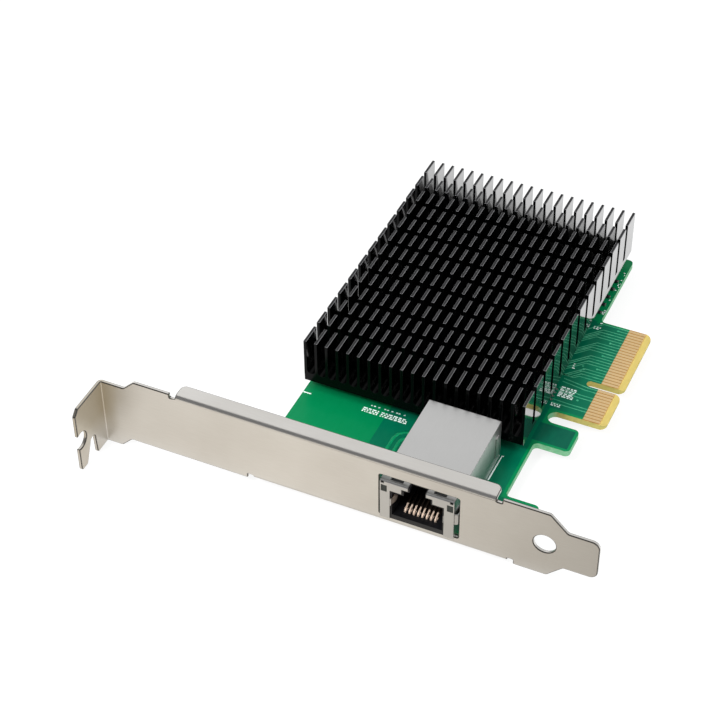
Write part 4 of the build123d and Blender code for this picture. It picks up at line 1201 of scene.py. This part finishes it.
def floor_material():
    material = bpy.data.materials.new("white floor")
    tree = emptied(material)
    path = node(tree, "LightPath").outputs
    seen = seen_rays(tree, path)
    paper = mixed(tree, seen, (PAPER, PAPER, PAPER, 1), (FLOOR_LIT, FLOOR_LIT, FLOOR_LIT, 1))
    matt = node(tree, "BsdfDiffuse", {"Color": paper})
    # What reflections see: white behind the bracket's face, and a painted dusk in front of it.
    place = axes(tree, "Object")
    dusk = mixed(tree, ramp(tree, place[0], *DUSK_X), DUSK_LEFT, DUSK_RIGHT)
    dusk = mixed(tree, ramp(tree, place[0], *RISE_X, RISE_FROM, 1.0), BLACK, dusk)
    mirrored = mixed(tree, ramp(tree, place[1], *FRONT_Y), WHITE, dusk)
    shade = mixed(tree, path["Is Glossy Ray"], WHITE, mirrored)
    glow = node(tree, "Emission", {"Color": shade, "Strength": calc(tree, "MULTIPLY", seen, FLOOR_GLOW)})
    both = node(tree, "AddShader", {0: matt.outputs[0], 1: glow.outputs[0]})
    below = node(tree, "NewGeometry").outputs["Backfacing"]
    clear = node(tree, "BsdfTransparent")
    ended(tree, node(tree, "MixShader", {0: below, 1: both.outputs[0], 2: clear.outputs[0]}))
    return material


def flat_sheet(name, cuts, size):
    """A flat square in the XY plane."""
    shape = bmesh.new()
    bmesh.ops.create_grid(shape, x_segments=cuts, y_segments=cuts, size=size)
    return object_from(name, shape)


floor = flat_sheet("floor", 2, FLOOR_SIZE)
floor.location.z = cad_bounds[0][2]
floor.data.materials.append(floor_material())
print("floor at", round(cad_bounds[0][2] / MM, 3), "mm")

# %% [markdown]
# One side of a photographer's table is dark: there stand the camera and the room. Rounded metal edges
# mirror that side, which draws the dark lines along the bracket's fold. A dark wall in front of the
# card does the same here. Only reflections see it, so it takes no light away.

# %% Dark side of the room
WALL_MIDDLE = Vector((-0.35, -0.95, 0.85))
WALL_WIDE, WALL_HIGH = 3.2, 2.2
WALL_LEAN = math.radians(42)
WALL_TONE = (0.2, 0.2, 0.205, 1)


def dark_side():
    wall = flat_sheet("dark_side", 1, 0.5)
    wall.location = WALL_MIDDLE
    wall.scale = (WALL_WIDE, WALL_HIGH, 1)
    wall.rotation_euler = (math.pi / 2 - WALL_LEAN, 0, 0)
    material = bpy.data.materials.new("dark side")
    tree = emptied(material)
    ended(tree, node(tree, "Emission", {"Color": WALL_TONE}))
    wall.data.materials.append(material)
    for ray in ("camera", "diffuse", "shadow", "transmission"):
        setattr(wall, "visible_" + ray, False)
    return wall


print("dark side at", [round(v, 3) for v in dark_side().location])

# %% World and lamps
WORLD_LEVEL = 0.55                  # how much the tent lights the card, where 1 is what the camera sees
LEFT_OF, DIM = (-0.42, -0.16), 0.72             # reflections dim to this share from the left inwards
CARD_MIDDLE = (0.065, 0.05, 0.005)


def light_tent():
    world = bpy.data.worlds.new("light tent")
    tree = emptied(world)
    path = node(tree, "LightPath").outputs
    level = ramp(tree, seen_rays(tree, path), 0.0, 1.0, WORLD_LEVEL, 1.0)
    fade = ramp(tree, axes(tree, "Generated")[0], *LEFT_OF, 1.0, DIM)
    tint = mixed(tree, path["Is Glossy Ray"], WHITE, mixed(tree, fade, BLACK, WHITE))
    ended(tree, node(tree, "Background", {"Color": tint, "Strength": level}), "OutputWorld")
    return world


def soft_lamp(name, place, target, size, power):
    """A round area lamp that shines at a target, and that reflections don't show."""
    made = linked(name, bpy.data.lights.new(name, "AREA"))
    made.data.shape = "DISK"
    made.data.size = size
    made.data.energy = power
    made.location = place
    made.rotation_euler = (Vector(target) - Vector(place)).to_track_quat("-Z", "Y").to_euler()
    made.visible_glossy = False


scene.world = light_tent()
soft_lamp("key", (-0.10, -0.52, 0.72), (JACK_MIDDLE, 0.0, 0.004), 0.16, 4.2)
soft_lamp("top", (-0.22, -0.30, 0.90), CARD_MIDDLE, 0.8, 4.0)
soft_lamp("fill", (0.62, -0.05, 0.70), CARD_MIDDLE, 0.8, 3.2)

# %% [markdown]
# ## The end
# Nothing more is made after this.

# %% End
print("scene made")
